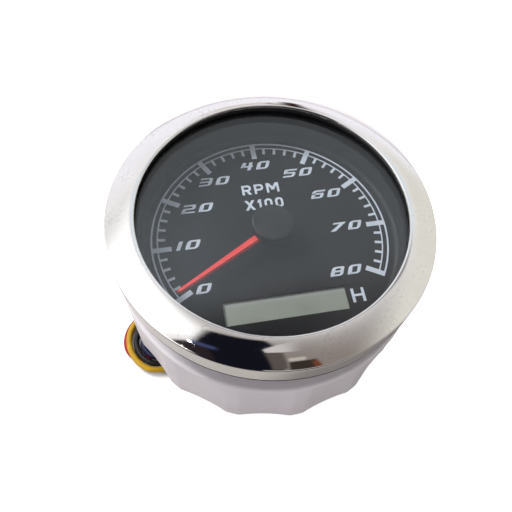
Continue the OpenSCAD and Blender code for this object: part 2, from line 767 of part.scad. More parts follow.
stator_z = movement_floor_z + 1.4;
stator_t = 0.8;
stator_in_r = magnet_d / 2 + 0.35;
arm_w = 1.2;
arm_x = 13;
coil_r = 1.45;
coil_l = 5.4;
coil_x = 8.6;

// Steel plate round the magnet with an arm through each coil
module stator() {
    rim_w = 1.3;
    color("slategray") difference() {
        union() {
            translate([0, rotor_y, stator_z]) cylinder(r = stator_in_r + rim_w, h = stator_t);
            translate([-arm_x, rotor_y - arm_w / 2, stator_z]) cube([2 * arm_x, arm_w, stator_t]);
        }
        translate([0, rotor_y, stator_z - cut_past]) cylinder(r = stator_in_r, h = stator_t + 2 * cut_past);
    }
}

module coils() {
    color("peru") for (side = [-1, 1]) translate([side * coil_x, rotor_y, stator_z + stator_t / 2]) difference() {
        rotate([0, 90, 0]) cylinder(r = coil_r, h = coil_l, center = true);
        cube([coil_l + 2 * cut_past, arm_w, stator_t], center = true);
    }
}

module terminal_pins() {
    pin_proud = 0.6;
    color("silver") for (place = pin_places) translate([place[0], place[1], movement_floor_z])
        cylinder(d = pin_d, h = board_top_z + pin_proud - movement_floor_z);
}

module rotor() {
    magnet_top_z = magnet_z + magnet_h;
    pinion_top_z = level_a_z + wheel_t;
    color([0.35, 0.35, 0.38]) translate([rotor_axis[0], rotor_axis[1], 0]) {
        translate([0, 0, magnet_z]) cylinder(d = magnet_d, h = magnet_h);
        translate([0, 0, movement_floor_z]) cylinder(r = pivot_r, h = level_a_z - movement_floor_z);
        gear(pinion_teeth, pinion_tip_r, magnet_top_z - weld, pinion_top_z - magnet_top_z + weld,
            rotor_pinion_turn);
        translate([0, 0, pinion_top_z - weld])
            cylinder(r = pivot_r, h = cover_z + pivot_reach - pinion_top_z + weld);
    }
}

module middle_gear() {
    collar_r = 1.6;
    collar_z = movement_floor_z + foot_h + 0.15;
    pinion_z = level_a_z + weld;
    pinion_top_z = level_b_z + wheel_t + 0.2;
    color("white") translate([middle_axis[0], middle_axis[1], 0]) {
        gear(wheel_teeth, wheel_tip_r, level_a_z, wheel_t, rotor_line);
        gear(pinion_teeth, pinion_tip_r, pinion_z, pinion_top_z - pinion_z, middle_pinion_turn);
        translate([0, 0, collar_z]) cylinder(r = collar_r, h = level_a_z + weld - collar_z);
        translate([0, 0, movement_floor_z]) cylinder(r = pivot_r, h = cover_z + pivot_reach - movement_floor_z);
    }
}

// Large gear and the shaft that carries the pointer, pressed together for life
module shaft_gear() {
    color("whitesmoke") {
        gear(wheel_teeth, wheel_tip_r, level_b_z, wheel_t, line_turn);
        translate([0, 0, movement_floor_z]) cylinder(r = shaft_pivot_r, h = level_b_z - movement_floor_z);
        translate([0, 0, level_b_z]) cylinder(d = shaft_d, h = shaft_top_z - level_b_z);
    }
}

grommet_w = 3 * wire_pitch + wire_d + 2 * grommet_end;
grommet_h = wire_d + 2 * grommet_wall;

// Flat bar with round ends along X, the shape of the grommet's body
module stadium(x, length, w, h) {
    translate([x, -(w - h) / 2, wire_exit_z - h / 2]) cube([length, w - h, h]);
    for (side = [-1, 1])
        translate([x, side * (w - h) / 2, wire_exit_z]) rotate([0, 90, 0]) cylinder(d = h, h = length);
}

// Barrel and rear wall as one turned form. The thread's grooves are drawn as parallel rings.
module threaded_barrel() {
    barrel_r = barrel_d / 2;
    root_r = barrel_r - thread_depth;
    root_half = thread_pitch * 0.17;
    mouth_half = thread_pitch * 0.33;
    first_z = inner_floor_z + thread_margin;
    grooves = floor((flange_z - thread_margin - first_z) / thread_pitch);
    thread = [for (i = [0:grooves]) let (z = first_z + i * thread_pitch) each [
        [barrel_r, z - mouth_half], [root_r, z - root_half], [root_r, z + root_half], [barrel_r, z + mouth_half]
    ]];
    rotate_extrude() polygon(concat(
        [[0, rear_z], [barrel_r, rear_z]],
        thread,
        [[barrel_r, flange_z + weld], [0, flange_z + weld]]));
}

// White moulded cup: rim, flange, barrel, rear wall, posts and the boss that it stands on
module case() {
    post_hole_l = 10;
    thread_play = 0.1;
    rim_r = gasket_outer_r;
    color("white") difference() {
        union() {
            difference() {
                union() {
                    translate([0, 0, flange_z]) cylinder(r = rim_r, h = trim_flange_z - flange_z);
                    translate([0, 0, flange_z]) cylinder(r = flange_r, h = flange_t);
                    threaded_barrel();
                    cylinder(d = boss_d, h = rear_z + weld);
                }
                translate([0, 0, inner_floor_z]) cylinder(r = bore_r, h = bezel_top_z);
                translate([0, 0, boss_floor]) cylinder(d = boss_d - 2 * boss_wall, h = inner_floor_z);
            }
            for (turn = screw_turns) rotate([0, 0, turn]) translate([post_r, 0, inner_floor_z - weld])
                cylinder(d = post_d, h = board_z - inner_floor_z + weld);
        }
        for (turn = screw_turns) rotate([0, 0, turn]) translate([post_r, 0, board_z - post_hole_l])
            cylinder(d = screw_d + thread_play, h = post_hole_l + cut_past);
        stadium(-boss_d / 2 - cut_past, boss_wall + 4 * cut_past, grommet_w, grommet_h);
    }
}

module panel_gasket() {
    bore_gap = 0.15;
    color([0.08, 0.08, 0.09]) band(barrel_d / 2 + bore_gap, panel_gasket_d / 2, panel_gasket_z, panel_gasket_t);
}

// White locking ring: a tapered barrel with shallow finger scallops that end below a plain collar
module locking_ring() {
    draft = atan2((ring_top_d - ring_foot_d) / 2, ring_h);
    edge = 0.6;
    top_round = 1;
    // The scallop's leaning cylinder runs this far past both ends of the ring
    cutter_past = 10;
    foot_r = ring_foot_d / 2;
    top_r = ring_top_d / 2;
    collar_z = ring_h - ring_collar_h;
    body_h = collar_z + weld;
    body_r = foot_r + (top_r - foot_r) * body_h / ring_h;
    color("white") translate([0, 0, ring_z]) difference() {
        union() {
            difference() {
                rotate_extrude() polygon([[0, 0], [foot_r - edge, 0], [foot_r, edge], [body_r, body_h], [0, body_h]]);
                for (i = [0:scallop_count - 1]) rotate([0, 0, scallop_turn + i * 360 / scallop_count])
                    translate([foot_r - scallop_depth + scallop_r, 0, 0]) rotate([0, draft, 0])
                        translate([0, 0, -cutter_past])
                            cylinder(r = scallop_r, h = ring_h + 2 * cutter_past, $fn = 360);
            }
            rotate_extrude() polygon(concat(
                [[0, collar_z], [top_r, collar_z]],
                arc(top_r - top_round, ring_h - top_round, top_round, 0, 90, 6),
                [[0, ring_h]]));
        }
        translate([0, 0, -cut_past]) cylinder(r = barrel_d / 2 + ring_clearance, h = ring_h + 2 * cut_past);
    }
}

// Rubber bush moulded round the wires in the boss's wall
module grommet() {
    inner_l = 1;
    length = boss_wall + grommet_proud + inner_l;
    color([0.1, 0.1, 0.11]) stadium(-boss_d / 2 - grommet_proud, length, grommet_w, grommet_h);
}

// Free wires. Each route starts on the grommet's face, loops out past the ring and runs back under the gauge.
exit_x = -boss_d / 2 - grommet_proud;
route_red = [
    [exit_x, 1.5 * wire_pitch, wire_exit_z],
    [-29.5, 3.6, 3.3], [-34, 3.3, 2.7], [-38.5, 2.3, 1.9], [-42.7, 0.5, 1.3],
    [-46.1, -2.1, 1], [-48.3, -5.3, 1], [-49.2, -9, 1], [-48.5, -12.5, 1], [-46.2, -15, 1],
    [-42.8, -15.6, 1], [-39, -14.8, 1], [-34.8, -14.3, 1], [-30.6, -15.6, 1], [-26.6, -18, 1],
    [-22.6, -20.7, 1], [-17.9, -23.1, 1], [-12.6, -25.2, 1], [-6.9, -26.5, 1], [-1.1, -26.8, 1]
];
route_yellow = [
    [exit_x, 0.5 * wire_pitch, wire_exit_z],
    [-29.5, 1.2, 3.4], [-34, 1.1, 3.2], [-38.5, 0.4, 3], [-42.7, -1, 3],
    [-45.9, -3.5, 3], [-47.7, -6.9, 3], [-48.1, -10.7, 3], [-47.3, -14.4, 3], [-45.4, -17.8, 3],
    [-42.4, -20.3, 3], [-38.6, -21.1, 2.7], [-34.8, -21.5, 1.9], [-31.2, -23.1, 1.2], [-27, -25.2, 1],
    [-22.6, -28.2, 1], [-17.2, -30.8, 1], [-11.4, -32.7, 1], [-5.4, -33.9, 1], [0.7, -34.2, 1]
];
route_black = [
    [exit_x, -0.5 * wire_pitch, wire_exit_z],
    [-29.5, -1.2, 3.4], [-34, -1.4, 3.2], [-38.2, -2.2, 3], [-41.8, -3.8, 3],
    [-44.5, -6.4, 3], [-45.8, -9.8, 3], [-45.4, -13.2, 3], [-43.9, -16.2, 3], [-41.3, -18.4, 3],
    [-38, -19, 2.7], [-34.5, -19.3, 1.9], [-31, -21, 1.2], [-26.9, -22.8, 1], [-22.6, -25.8, 1],
    [-17.4, -28.4, 1], [-11.8, -30.4, 1], [-5.9, -31.7, 1], [0.1, -32.1, 1], [6.1, -31.4, 1]
];
route_blue = [
    [exit_x, -1.5 * wire_pitch, wire_exit_z],
    [-29.5, -3.6, 3.4], [-33.6, -3.9, 3.2], [-37.3, -4.8, 3], [-40.5, -6.4, 3],
    [-42.7, -8.8, 3], [-43.5, -11.8, 3], [-42.3, -14.5, 3], [-40.2, -16.4, 3], [-37, -16.9, 2.7],
    [-33.6, -17.1, 2], [-30.2, -18.8, 1.4], [-26.1, -20.9, 1], [-21.6, -23.6, 1], [-16.6, -26, 1],
    [-11.2, -28, 1], [-5.4, -29.4, 1], [0.5, -29.9, 1], [6.3, -29.2, 1], [12, -27.7, 1]
];

function unit(v) = v / norm(v);
// Direction of a route at point i, from the points on both sides of it
function heading(route, i) = unit(route[min(len(route) - 1, i + 1)] - route[max(0, i - 1)]);

// Tube of eight sides swept along a route, with one ring of corners at each point
module tube(route, d) {
    sides = 8;
    last = len(route) - 1;
    headings = [for (i = [0:last]) i == 0 ? [-1, 0, 0] : heading(route, i)];
    corners = [for (i = [0:last], k = [0:sides - 1])
        let (across = unit(cross(headings[i], [0, 0, 1])), up = cross(across, headings[i]))
        let (a = 360 * (k + 0.5) / sides)
        route[i] + d / 2 * (cos(a) * across + sin(a) * up)];
    walls = [for (i = [0:last - 1], k = [0:sides - 1])
        let (next = (k + 1) % sides, low = i * sides, high = (i + 1) * sides)
        each [[low + k, high + k, high + next], [low + k, high + next, low + next]]];
    ends = [[for (k = [0:sides - 1]) k], [for (k = [sides - 1:-1:0]) last * sides + k]];
    polyhedron(corners, concat(walls, ends), convexity = 6);
}

module wire_red() {
    color("firebrick") tube(route_red, wire_d);
}

module wire_yellow() {
    color("gold") tube(route_yellow, wire_d);
}

module wire_black() {
    color([0.1, 0.1, 0.1]) tube(route_black, wire_d);
}

module wire_blue() {
    color("navy") tube(route_blue, wire_d);
}

// Stripped and tinned ends of the four wires
module wire_tips() {
    color("silver") for (route = [route_red, route_yellow, route_black, route_blue]) {
        end = route[len(route) - 1];
        way = heading(route, len(route) - 1);
        translate(end) rotate([0, 90, atan2(way[1], way[0])]) cylinder(d = bare_d, h = bare_l);
    }
}

bezel();
lens();
lens_gasket();
trim_ring();
dial_plate();
dial_print();
pointer();
pointer_cap();
light_guide();
display_glass();
display_frame();
display_backlight();
contact_strips();
circuit_board();
lamps();
control_chip();
capacitor();
voltage_regulator();
wire_header();
board_screws();
movement_base();
movement_cover();
stator();
coils();
terminal_pins();
rotor();
middle_gear();
shaft_gear();
case();
panel_gasket();
locking_ring();
grommet();
wire_red();
wire_yellow();
wire_black();
wire_blue();
wire_tips();
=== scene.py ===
import bmesh
import bpy
import numpy as np
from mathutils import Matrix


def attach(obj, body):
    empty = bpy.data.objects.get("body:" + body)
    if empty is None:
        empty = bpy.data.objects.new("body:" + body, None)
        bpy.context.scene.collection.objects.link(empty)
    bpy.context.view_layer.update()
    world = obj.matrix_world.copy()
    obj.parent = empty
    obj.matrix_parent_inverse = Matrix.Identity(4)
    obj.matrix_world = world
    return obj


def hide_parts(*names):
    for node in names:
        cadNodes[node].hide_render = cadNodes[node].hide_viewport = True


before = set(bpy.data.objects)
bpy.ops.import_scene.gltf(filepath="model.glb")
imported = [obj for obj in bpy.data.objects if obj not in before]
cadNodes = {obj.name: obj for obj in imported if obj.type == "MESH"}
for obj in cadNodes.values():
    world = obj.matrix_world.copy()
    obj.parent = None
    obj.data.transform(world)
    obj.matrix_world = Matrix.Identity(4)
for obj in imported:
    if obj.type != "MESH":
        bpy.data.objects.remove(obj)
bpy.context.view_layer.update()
mm = 0.001
fullTurn = 2 * np.pi
sharp = 0.01  # corner radius in mm that leaves a corner as it is
print("frame loaded:", len(cadNodes), "nodes")


# Camera, at the photograph's viewing angle; its places are in metres

view = {"place": (-0.02860, -0.10086, 0.20646), "turnDegrees": (29.285, -5.141, -11.685), "lens": 45.12,
        "sensor": 36, "shift": (-0.0763, 0.0344), "clip": (0.005, 20)}
cameraData = bpy.data.cameras.new("camera")
cameraData.lens, cameraData.sensor_width = view["lens"], view["sensor"]
cameraData.shift_x, cameraData.shift_y = view["shift"]
cameraData.clip_start, cameraData.clip_end = view["clip"]
camera = bpy.data.objects.new("camera", cameraData)
camera.location, camera.rotation_euler = view["place"], np.radians(view["turnDegrees"])
bpy.context.scene.collection.objects.link(camera)
bpy.context.scene.camera = camera


# Colours and nodes

def toLinear(hexColour):
    # sRGB to linear light: v / 12.92 for dark values, else ((v + 0.055) / 1.055) to the power 2.4
    v = np.array([int(hexColour[i:i + 2], 16) for i in (1, 3, 5)]) / 255
    return (*np.where(v <= 0.04045, v / 12.92, ((v + 0.055) / 1.055) ** 2.4).tolist(), 1.0)


def setInputs(node, inputs):
    # An input takes a value, or a link from another node's output socket
    for name, value in inputs.items():
        if isinstance(value, bpy.types.NodeSocket):
            node.id_data.links.new(value, node.inputs[name])
        else:
            node.inputs[name].default_value = value


def addNode(tree, kind, inputs, output=0, **settings):
    # One node with its settings and inputs; what comes back is one of its output sockets.
    # A Mix node's colours are its inputs 6 and 7 and its output 2.
    made = tree.nodes.new("ShaderNode" + kind)
    for name, value in settings.items():
        setattr(made, name, value)
    setInputs(made, inputs)
    return made.outputs[output]


def newMaterial(name, **sockets):
    # Material with a Principled shader whose constant values are set on its own sockets, and the object's
    # coordinates that its patterns read
    made = bpy.data.materials.new(name)
    made.use_nodes = True
    shader = made.node_tree.nodes["Principled BSDF"]
    setInputs(shader, {socket.replace("_", " "): value for socket, value in sockets.items()})
    return made, made.node_tree, shader, addNode(made.node_tree, "TexCoord", {}, "Object")


def shadeBetween(tree, pattern, low, high, dark, light):
    # Colour that goes from one shade to the other while the pattern's value goes from low to high
    share = addNode(tree, "MapRange", {"Value": pattern, "From Min": low, "From Max": high})
    return addNode(tree, "Mix", {"Factor": share, 6: toLinear(dark), 7: toLinear(light)}, 2, data_type="RGBA")


def setSurface(tree, shader, colour, pattern, roughness, bump, low=0.0, high=1.0):
    # The shader's colour; its roughness runs between two values while the pattern goes from low to high,
    # and the pattern lifts the surface by bump mm
    spread = {"Value": pattern, "From Min": low, "From Max": high,
              "To Min": roughness[0], "To Max": roughness[1]}
    lift = {"Height": pattern, "Strength": 1.0, "Distance": bump * mm}
    setInputs(shader, {"Base Color": colour, "Roughness": addNode(tree, "MapRange", spread),
                       "Normal": addNode(tree, "Bump", lift)})


def mottled(name, dark, light, blotch, grain, roughness, bump, **sockets):
    # Moulded or cast surface: colour drifts between two shades over blotches of so many mm,
    # roughness drifts between two values, and a finer grain of so many mm lifts the surface by bump mm
    made, tree, shader, place = newMaterial(name, **sockets)
    wide = {"Vector": place, "Scale": 1 / (blotch * mm), "Detail": 3.0, "Roughness": 0.6}
    narrow = {"Vector": place, "Scale": 1 / (grain * mm), "Detail": 4.0, "Roughness": 0.65}
    colour = shadeBetween(tree, addNode(tree, "TexNoise", wide), 0.3, 0.7, dark, light)
    setSurface(tree, shader, colour, addNode(tree, "TexNoise", narrow), roughness, bump, 0.3, 0.7)
    return made


def overlaid(made, axis, start, end, most, colour):
    # Lays a second colour over a material's own from start to end in mm along an axis, at most a share of it
    tree, shader = made.node_tree, made.node_tree.nodes["Principled BSDF"]
    along = addNode(tree, "SeparateXYZ", {"Vector": addNode(tree, "TexCoord", {}, "Object")}, axis)
    span = {"Value": along, "From Min": start * mm, "From Max": end * mm, "To Max": most}
    share = addNode(tree, "MapRange", span, interpolation_type="SMOOTHSTEP")
    both = {"Factor": share, 6: shader.inputs["Base Color"].links[0].from_socket, 7: toLinear(colour)}
    setInputs(shader, {"Base Color": addNode(tree, "Mix", both, 2, data_type="RGBA")})
    return made


def milky(weight, depth):
    # Socket values of a plastic that lets a share of the light in, to a depth in mm
    return {"Subsurface_Weight": weight, "Subsurface_Radius": (depth * mm,) * 3}


# Meshes from whole arrays

meshMake = {"weld": 0.0004, "speck": 0.0001, "creaseDegrees": 38}


def gridQuads(rows, columns, closeRows=False, closeColumns=False):
    # Faces of a grid whose point (i, j) has the number i * columns + j
    i = np.arange(rows if closeRows else rows - 1)[:, None]
    j = np.arange(columns if closeColumns else columns - 1)[None, :]
    across, along = (i + 1) % rows, (j + 1) % columns
    corners = [i * columns + j, across * columns + j, across * columns + along, i * columns + along]
    return np.stack(corners, -1).reshape(-1, 4)


def joinShells(shells):
    # Several (points, faces) put in one list, each shell's faces counted on from the last shell's points
    starts = np.cumsum([0] + [len(points) for points, _ in shells[:-1]])
    allFaces = [faces + start for (_, faces), start in zip(shells, starts)]
    return np.concatenate([points for points, _ in shells]), np.concatenate(allFaces)


def putPiece(name, shells, body, material, replaces=()):
    # A mesh from shells in mm: points that coincide are welded, which closes seams and poles
    points, faces = joinShells(shells)
    mesh = bpy.data.meshes.new(name)
    mesh.vertices.add(len(points))
    mesh.vertices.foreach_set("co", (points * mm).astype(np.float32).ravel())
    mesh.loops.add(faces.size)
    mesh.loops.foreach_set("vertex_index", faces.astype(np.int32).ravel())
    mesh.polygons.add(len(faces))
    mesh.polygons.foreach_set("loop_start", np.arange(0, faces.size, 4, dtype=np.int32))
    mesh.update(calc_edges=True)
    welded = bmesh.new()
    welded.from_mesh(mesh)
    bmesh.ops.remove_doubles(welded, verts=welded.verts, dist=meshMake["weld"] * mm)
    bmesh.ops.dissolve_degenerate(welded, edges=welded.edges, dist=meshMake["speck"] * mm)
    welded.to_mesh(mesh)
    welded.free()
    mesh.polygons.foreach_set("use_smooth", np.ones(len(mesh.polygons), bool))
    mesh.set_sharp_from_angle(angle=np.radians(meshMake["creaseDegrees"]))
    mesh.materials.append(material)
    piece = bpy.data.objects.new(name, mesh)
    bpy.context.scene.collection.objects.link(piece)
    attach(piece, body)
    if replaces:
        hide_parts(*replaces)
    return piece


def arcPoints(centre, radius, fromDegrees, toDegrees, steps):
    # Points at centre + radius * (cos a, sin a)
    a = np.radians(np.linspace(fromDegrees, toDegrees, steps + 1))
    return np.stack([centre[0] + radius * np.cos(a), centre[1] + radius * np.sin(a)], -1)


def roundedPath(corners, steps=6, closed=True, support=0.2):
    # Outline through corners (x, y, radius): each corner becomes an arc that touches both its sides,
    # at distance radius / tan(half the angle) from the corner, with a support point beyond each end of the arc
    given = np.array(corners, float)
    point, radius = given[:, :2], given[:, 2:]
    back, ahead = np.roll(point, 1, 0) - point, np.roll(point, -1, 0) - point
    backLength, aheadLength = (np.linalg.norm(v, axis=1, keepdims=True) for v in (back, ahead))
    back, ahead = back / backLength, ahead / aheadLength
    half = np.arccos(np.clip((back * ahead).sum(1, keepdims=True), -0.9999, 0.9999)) / 2
    if not closed:
        half[[0, -1]] = np.pi / 2  # the two ends stay as they are
    cut = radius / np.tan(half)
    middle = back + ahead
    middle /= np.maximum(np.linalg.norm(middle, axis=1, keepdims=True), 1e-9)
    centre = point + middle * radius / np.sin(half)
    first, last = point + back * cut - centre, point + ahead * cut - centre
    startTurn, endTurn = (np.arctan2(v[:, 1], v[:, 0])[:, None] for v in (first, last))
    turn = startTurn + ((endTurn - startTurn + np.pi) % fullTurn - np.pi) * np.linspace(0, 1, steps + 1)
    arc = centre[:, None] + radius[:, None] * np.stack([np.cos(turn), np.sin(turn)], -1)
    before = point + back * (cut + np.minimum(support, 0.3 * (backLength - cut - np.roll(cut, 1, 0))))
    after = point + ahead * (cut + np.minimum(support, 0.3 * (aheadLength - cut - np.roll(cut, -1, 0))))
    path = np.concatenate([before[:, None], arc, after[:, None]], 1)
    if closed:
        return path.reshape(-1, 2)
    return np.concatenate([point[:1], path[1:-1].reshape(-1, 2), point[-1:]])


def turned(profile, segments=256, closed=True, centre=(0, 0)):
    # Surface of revolution: (r, z) goes to (r cos a, r sin a, z); the profile runs so that the solid is on its
    # left, and it may have a radius of its own for each of the angles
    a = fullTurn * np.arange(segments)[:, None] / segments
    r, z = np.broadcast_to(profile, (segments,) + profile.shape[-2:]).transpose(2, 0, 1)
    points = np.stack([centre[0] + r * np.cos(a), centre[1] + r * np.sin(a), z], -1).reshape(-1, 3)
    return points, gridQuads(segments, profile.shape[-2], closeRows=True, closeColumns=closed)


def turnedBy(shell, degrees):
    # The shell turned about +Z through the dial's centre
    c, s = np.cos(np.radians(degrees)), np.sin(np.radians(degrees))
    return shell[0] @ np.array([[c, s, 0], [-s, c, 0], [0, 0, 1]]), shell[1]


def swept(sections, closed=False):
    # Sections (n, k, 3) joined one to the next; at each end of an open sweep a last section shrinks to its own
    # middle, and the weld makes one point of it
    if not closed:
        middles = [np.broadcast_to(sections[i].mean(0), sections[:1].shape) for i in (0, -1)]
        sections = np.concatenate([middles[0], sections, middles[1]])
    return sections.reshape(-1, 3), gridQuads(*sections.shape[:2], closeRows=closed, closeColumns=True)


# Wires, first because their room decides the layout

wires = {
    "red": {"dark": "#8a1410", "light": "#b01e18", "route": [
        (-25.5, 3.6, 3.4), (-29.5, 3.6, 3.3), (-34, 3.3, 2.7), (-38.5, 2.3, 1.9), (-42.7, 0.5, 1.3),
        (-46.1, -2.1, 1), (-48.3, -5.3, 1), (-49.2, -9, 1), (-48.5, -12.5, 1), (-46.2, -15, 1),
        (-42.8, -15.6, 1), (-39, -14.8, 1), (-34.8, -14.3, 1), (-30.6, -15.6, 1), (-26.6, -18, 1),
        (-22.6, -20.7, 1), (-17.9, -23.1, 1), (-12.6, -25.2, 1), (-6.9, -26.5, 1), (-1.1, -26.8, 1)]},
    "yellow": {"dark": "#a8820a", "light": "#c49c14", "route": [
        (-25.5, 1.2, 3.4), (-29.5, 1.2, 3.4), (-34, 1.1, 3.2), (-38.5, 0.4, 3), (-42.7, -1, 3),
        (-45.9, -3.5, 3), (-47.7, -6.9, 3), (-48.1, -10.7, 3), (-47.3, -14.4, 3), (-45.4, -17.8, 3),
        (-42.4, -20.3, 3), (-38.6, -21.1, 2.7), (-34.8, -21.5, 1.9), (-31.2, -23.1, 1.2), (-27, -25.2, 1),
        (-22.6, -28.2, 1), (-17.2, -30.8, 1), (-11.4, -32.7, 1), (-5.4, -33.9, 1), (0.7, -34.2, 1)]},
    "black": {"dark": "#0d0d0f", "light": "#1b1b1e", "route": [
        (-25.5, -1.2, 3.4), (-29.5, -1.2, 3.4), (-34, -1.4, 3.2), (-38.2, -2.2, 3), (-41.8, -3.8, 3),
        (-44.5, -6.4, 3), (-45.8, -9.8, 3), (-45.4, -13.2, 3), (-43.9, -16.2, 3), (-41.3, -18.4, 3),
        (-38, -19, 2.7), (-34.5, -19.3, 1.9), (-31, -21, 1.2), (-26.9, -22.8, 1), (-22.6, -25.8, 1),
        (-17.4, -28.4, 1), (-11.8, -30.4, 1), (-5.9, -31.7, 1), (0.1, -32.1, 1), (6.1, -31.4, 1)]},
    "blue": {"dark": "#0c1230", "light": "#182250", "route": [
        (-25.5, -3.6, 3.4), (-29.5, -3.6, 3.4), (-33.6, -3.9, 3.2), (-37.3, -4.8, 3), (-40.5, -6.4, 3),
        (-42.7, -8.8, 3), (-43.5, -11.8, 3), (-42.3, -14.5, 3), (-40.2, -16.4, 3), (-37, -16.9, 2.7),
        (-33.6, -17.1, 2), (-30.2, -18.8, 1.4), (-26.1, -20.9, 1), (-21.6, -23.6, 1), (-16.6, -26, 1),
        (-11.2, -28, 1), (-5.4, -29.4, 1), (0.5, -29.9, 1), (6.3, -29.2, 1), (12, -27.7, 1)]},
}
wireMake = {"diameter": 1.9, "bareDiameter": 1.0, "bareLength": 6.0, "strands": 7, "layLength": 7.0,
            "stepsPerPoint": 8, "sides": 24, "strandSteps": 40, "strandSides": 10}


def smoothRoute(route, steps):
    # Curve through every point: between two points it is the cubic that leaves and arrives along the line
    # that joins the neighbours on both sides
    p = np.array(route, float)
    padded = np.concatenate([[2 * p[0] - p[1]], p, [2 * p[-1] - p[-2]]])
    a, b, c, d = padded[:-3, None], padded[1:-2, None], padded[2:-1, None], padded[3:, None]
    t = (np.arange(steps) / steps)[None, :, None]
    bowed, cubic = 2 * a - 5 * b + 4 * c - d, 3 * b - a - 3 * c + d
    curve = 0.5 * (2 * b + (c - a) * t + bowed * t ** 2 + cubic * t ** 3)
    return np.concatenate([curve.reshape(-1, 3), p[-1:]])


def framesAlong(path):
    # Heading, sideways and upward unit vectors at each point of a path that never stands upright
    heading = np.gradient(path, axis=0)
    heading /= np.linalg.norm(heading, axis=1, keepdims=True)
    side = np.cross(heading, [0, 0, 1])
    side /= np.linalg.norm(side, axis=1, keepdims=True)
    return heading, side, np.cross(side, heading)


def tube(path, radius, sides):
    # Circle at each point of the path, square to its heading; the radius may differ from point to point
    _, side, up = framesAlong(path)
    a = fullTurn * np.arange(sides)[None, :, None] / sides
    r = np.broadcast_to(np.asarray(radius, float), len(path))[:, None, None]
    return path[:, None] + r * (np.cos(a) * side[:, None] + np.sin(a) * up[:, None])


# Tinned copper strands: dull silver with brighter ridges
tinnedCopper = mottled("tinned copper strands", "#8f8d86", "#c9c7c0", 1.5, 0.15, (0.22, 0.42), 0.01,
                       Metallic=1.0)


def wireMaterial(name, dark, light):
    # Extruded PVC insulation: soft gloss with a fine unevenness and a little dust that dulls it
    return mottled("extruded PVC, " + name, dark, light, 6.0, 0.35, (0.28, 0.46), 0.012,
                   IOR=1.53, Coat_Weight=0.15, Coat_Roughness=0.2)


def bareStrands(end, heading, side, up):
    # One straight strand in the middle and the others round it in a helix, three strands across the bare end
    strandR = wireMake["bareDiameter"] / 6
    s = np.linspace(0, wireMake["bareLength"], wireMake["strandSteps"])[:, None]
    outer = wireMake["strands"] - 1
    shells = []
    for k in range(wireMake["strands"]):
        turn = fullTurn * (k / outer + s / wireMake["layLength"])
        away = 0 if k == outer else 2 * strandR
        middle = end + heading * s + away * (np.cos(turn) * side + np.sin(turn) * up)
        shells.append(swept(tube(middle, strandR, wireMake["strandSides"])))
    return shells


for name, wire in wires.items():
    path = smoothRoute(wire["route"], wireMake["stepsPerPoint"])
    radius = np.full(len(path), wireMake["diameter"] / 2)
    radius[-1] *= 0.9  # the knife rounds the cut end a little
    insulation = putPiece("wire_insulation_" + name, [swept(tube(path, radius, wireMake["sides"]))], "gauge",
                          wireMaterial(name, wire["dark"], wire["light"]), ["wire_" + name])
    strands = bareStrands(path[-1], *(v[-1] for v in framesAlong(path)))
    tip = putPiece("bare_strands_" + name, strands, "gauge", tinnedCopper, ["wire_tips"])


# Bezel

bezel = {"outerR": 47.5, "footR": 47.0, "footZ": 46.7, "topZ": 57.4, "edgeZ": 54.4, "sheet": 0.8,
         "corner": 0.4, "beadR": 0.55, "beadCentre": (39.4, 56.85), "slopeStart": 39.4, "slopeEnd": 47.1,
         "fall": 3.0, "curve": 1.44, "liningR": 46.3, "crimpR": 44.4, "flangeZ": 47.5, "bend": 0.1,
         "segments": 384}


def slopeZ(r):
    # The bezel's upper face falls from the bead's crown by 3 mm times the share of its width to the power 1.44
    share = np.clip((r - bezel["slopeStart"]) / (bezel["slopeEnd"] - bezel["slopeStart"]), 0, None)
    return bezel["topZ"] - bezel["fall"] * share ** bezel["curve"]


def bezelProfile():
    # From the foot up the side, over the corner and the slope to the rolled bead, and back inside the sheet
    outerR, footR, footZ, edgeZ = (bezel[key] for key in ("outerR", "footR", "footZ", "edgeZ"))
    sheet, corner, bend = bezel["sheet"], bezel["corner"], bezel["bend"]
    crimpR, flangeZ = bezel["crimpR"], bezel["flangeZ"]
    foot = arcPoints((footR - corner, footZ + corner), corner, -90, 0, 8)
    side = np.linspace((footR + 0.02, footZ + 0.6), (outerR, edgeZ - corner - 0.15), 6)
    edge = arcPoints((outerR - corner, edgeZ - corner), corner, 0, 66, 10)
    r = np.linspace(bezel["slopeEnd"] + 0.02, bezel["slopeStart"] + 0.06, 96)
    slope = np.stack([r, slopeZ(r)], -1)
    bead = arcPoints(bezel["beadCentre"], bezel["beadR"], 96, 290, 30)
    r = np.linspace(bezel["slopeStart"] + 0.45, bezel["liningR"], 24)
    lining = np.stack([r, slopeZ(r) - sheet], -1)
    wall = [(outerR - sheet - 0.08, edgeZ - sheet), (outerR - sheet - 0.02, edgeZ - sheet - 0.5),
            (footR - sheet + 0.06, flangeZ + bend), (footR - sheet, flangeZ)]
    crimp = [(crimpR + bend, flangeZ), (crimpR, flangeZ - bend), (crimpR, footZ + bend),
             (crimpR + bend, footZ), (footR - sheet - 0.2, footZ)]
    return np.concatenate([foot, side, edge, slope, bead, lining, wall, crimp])


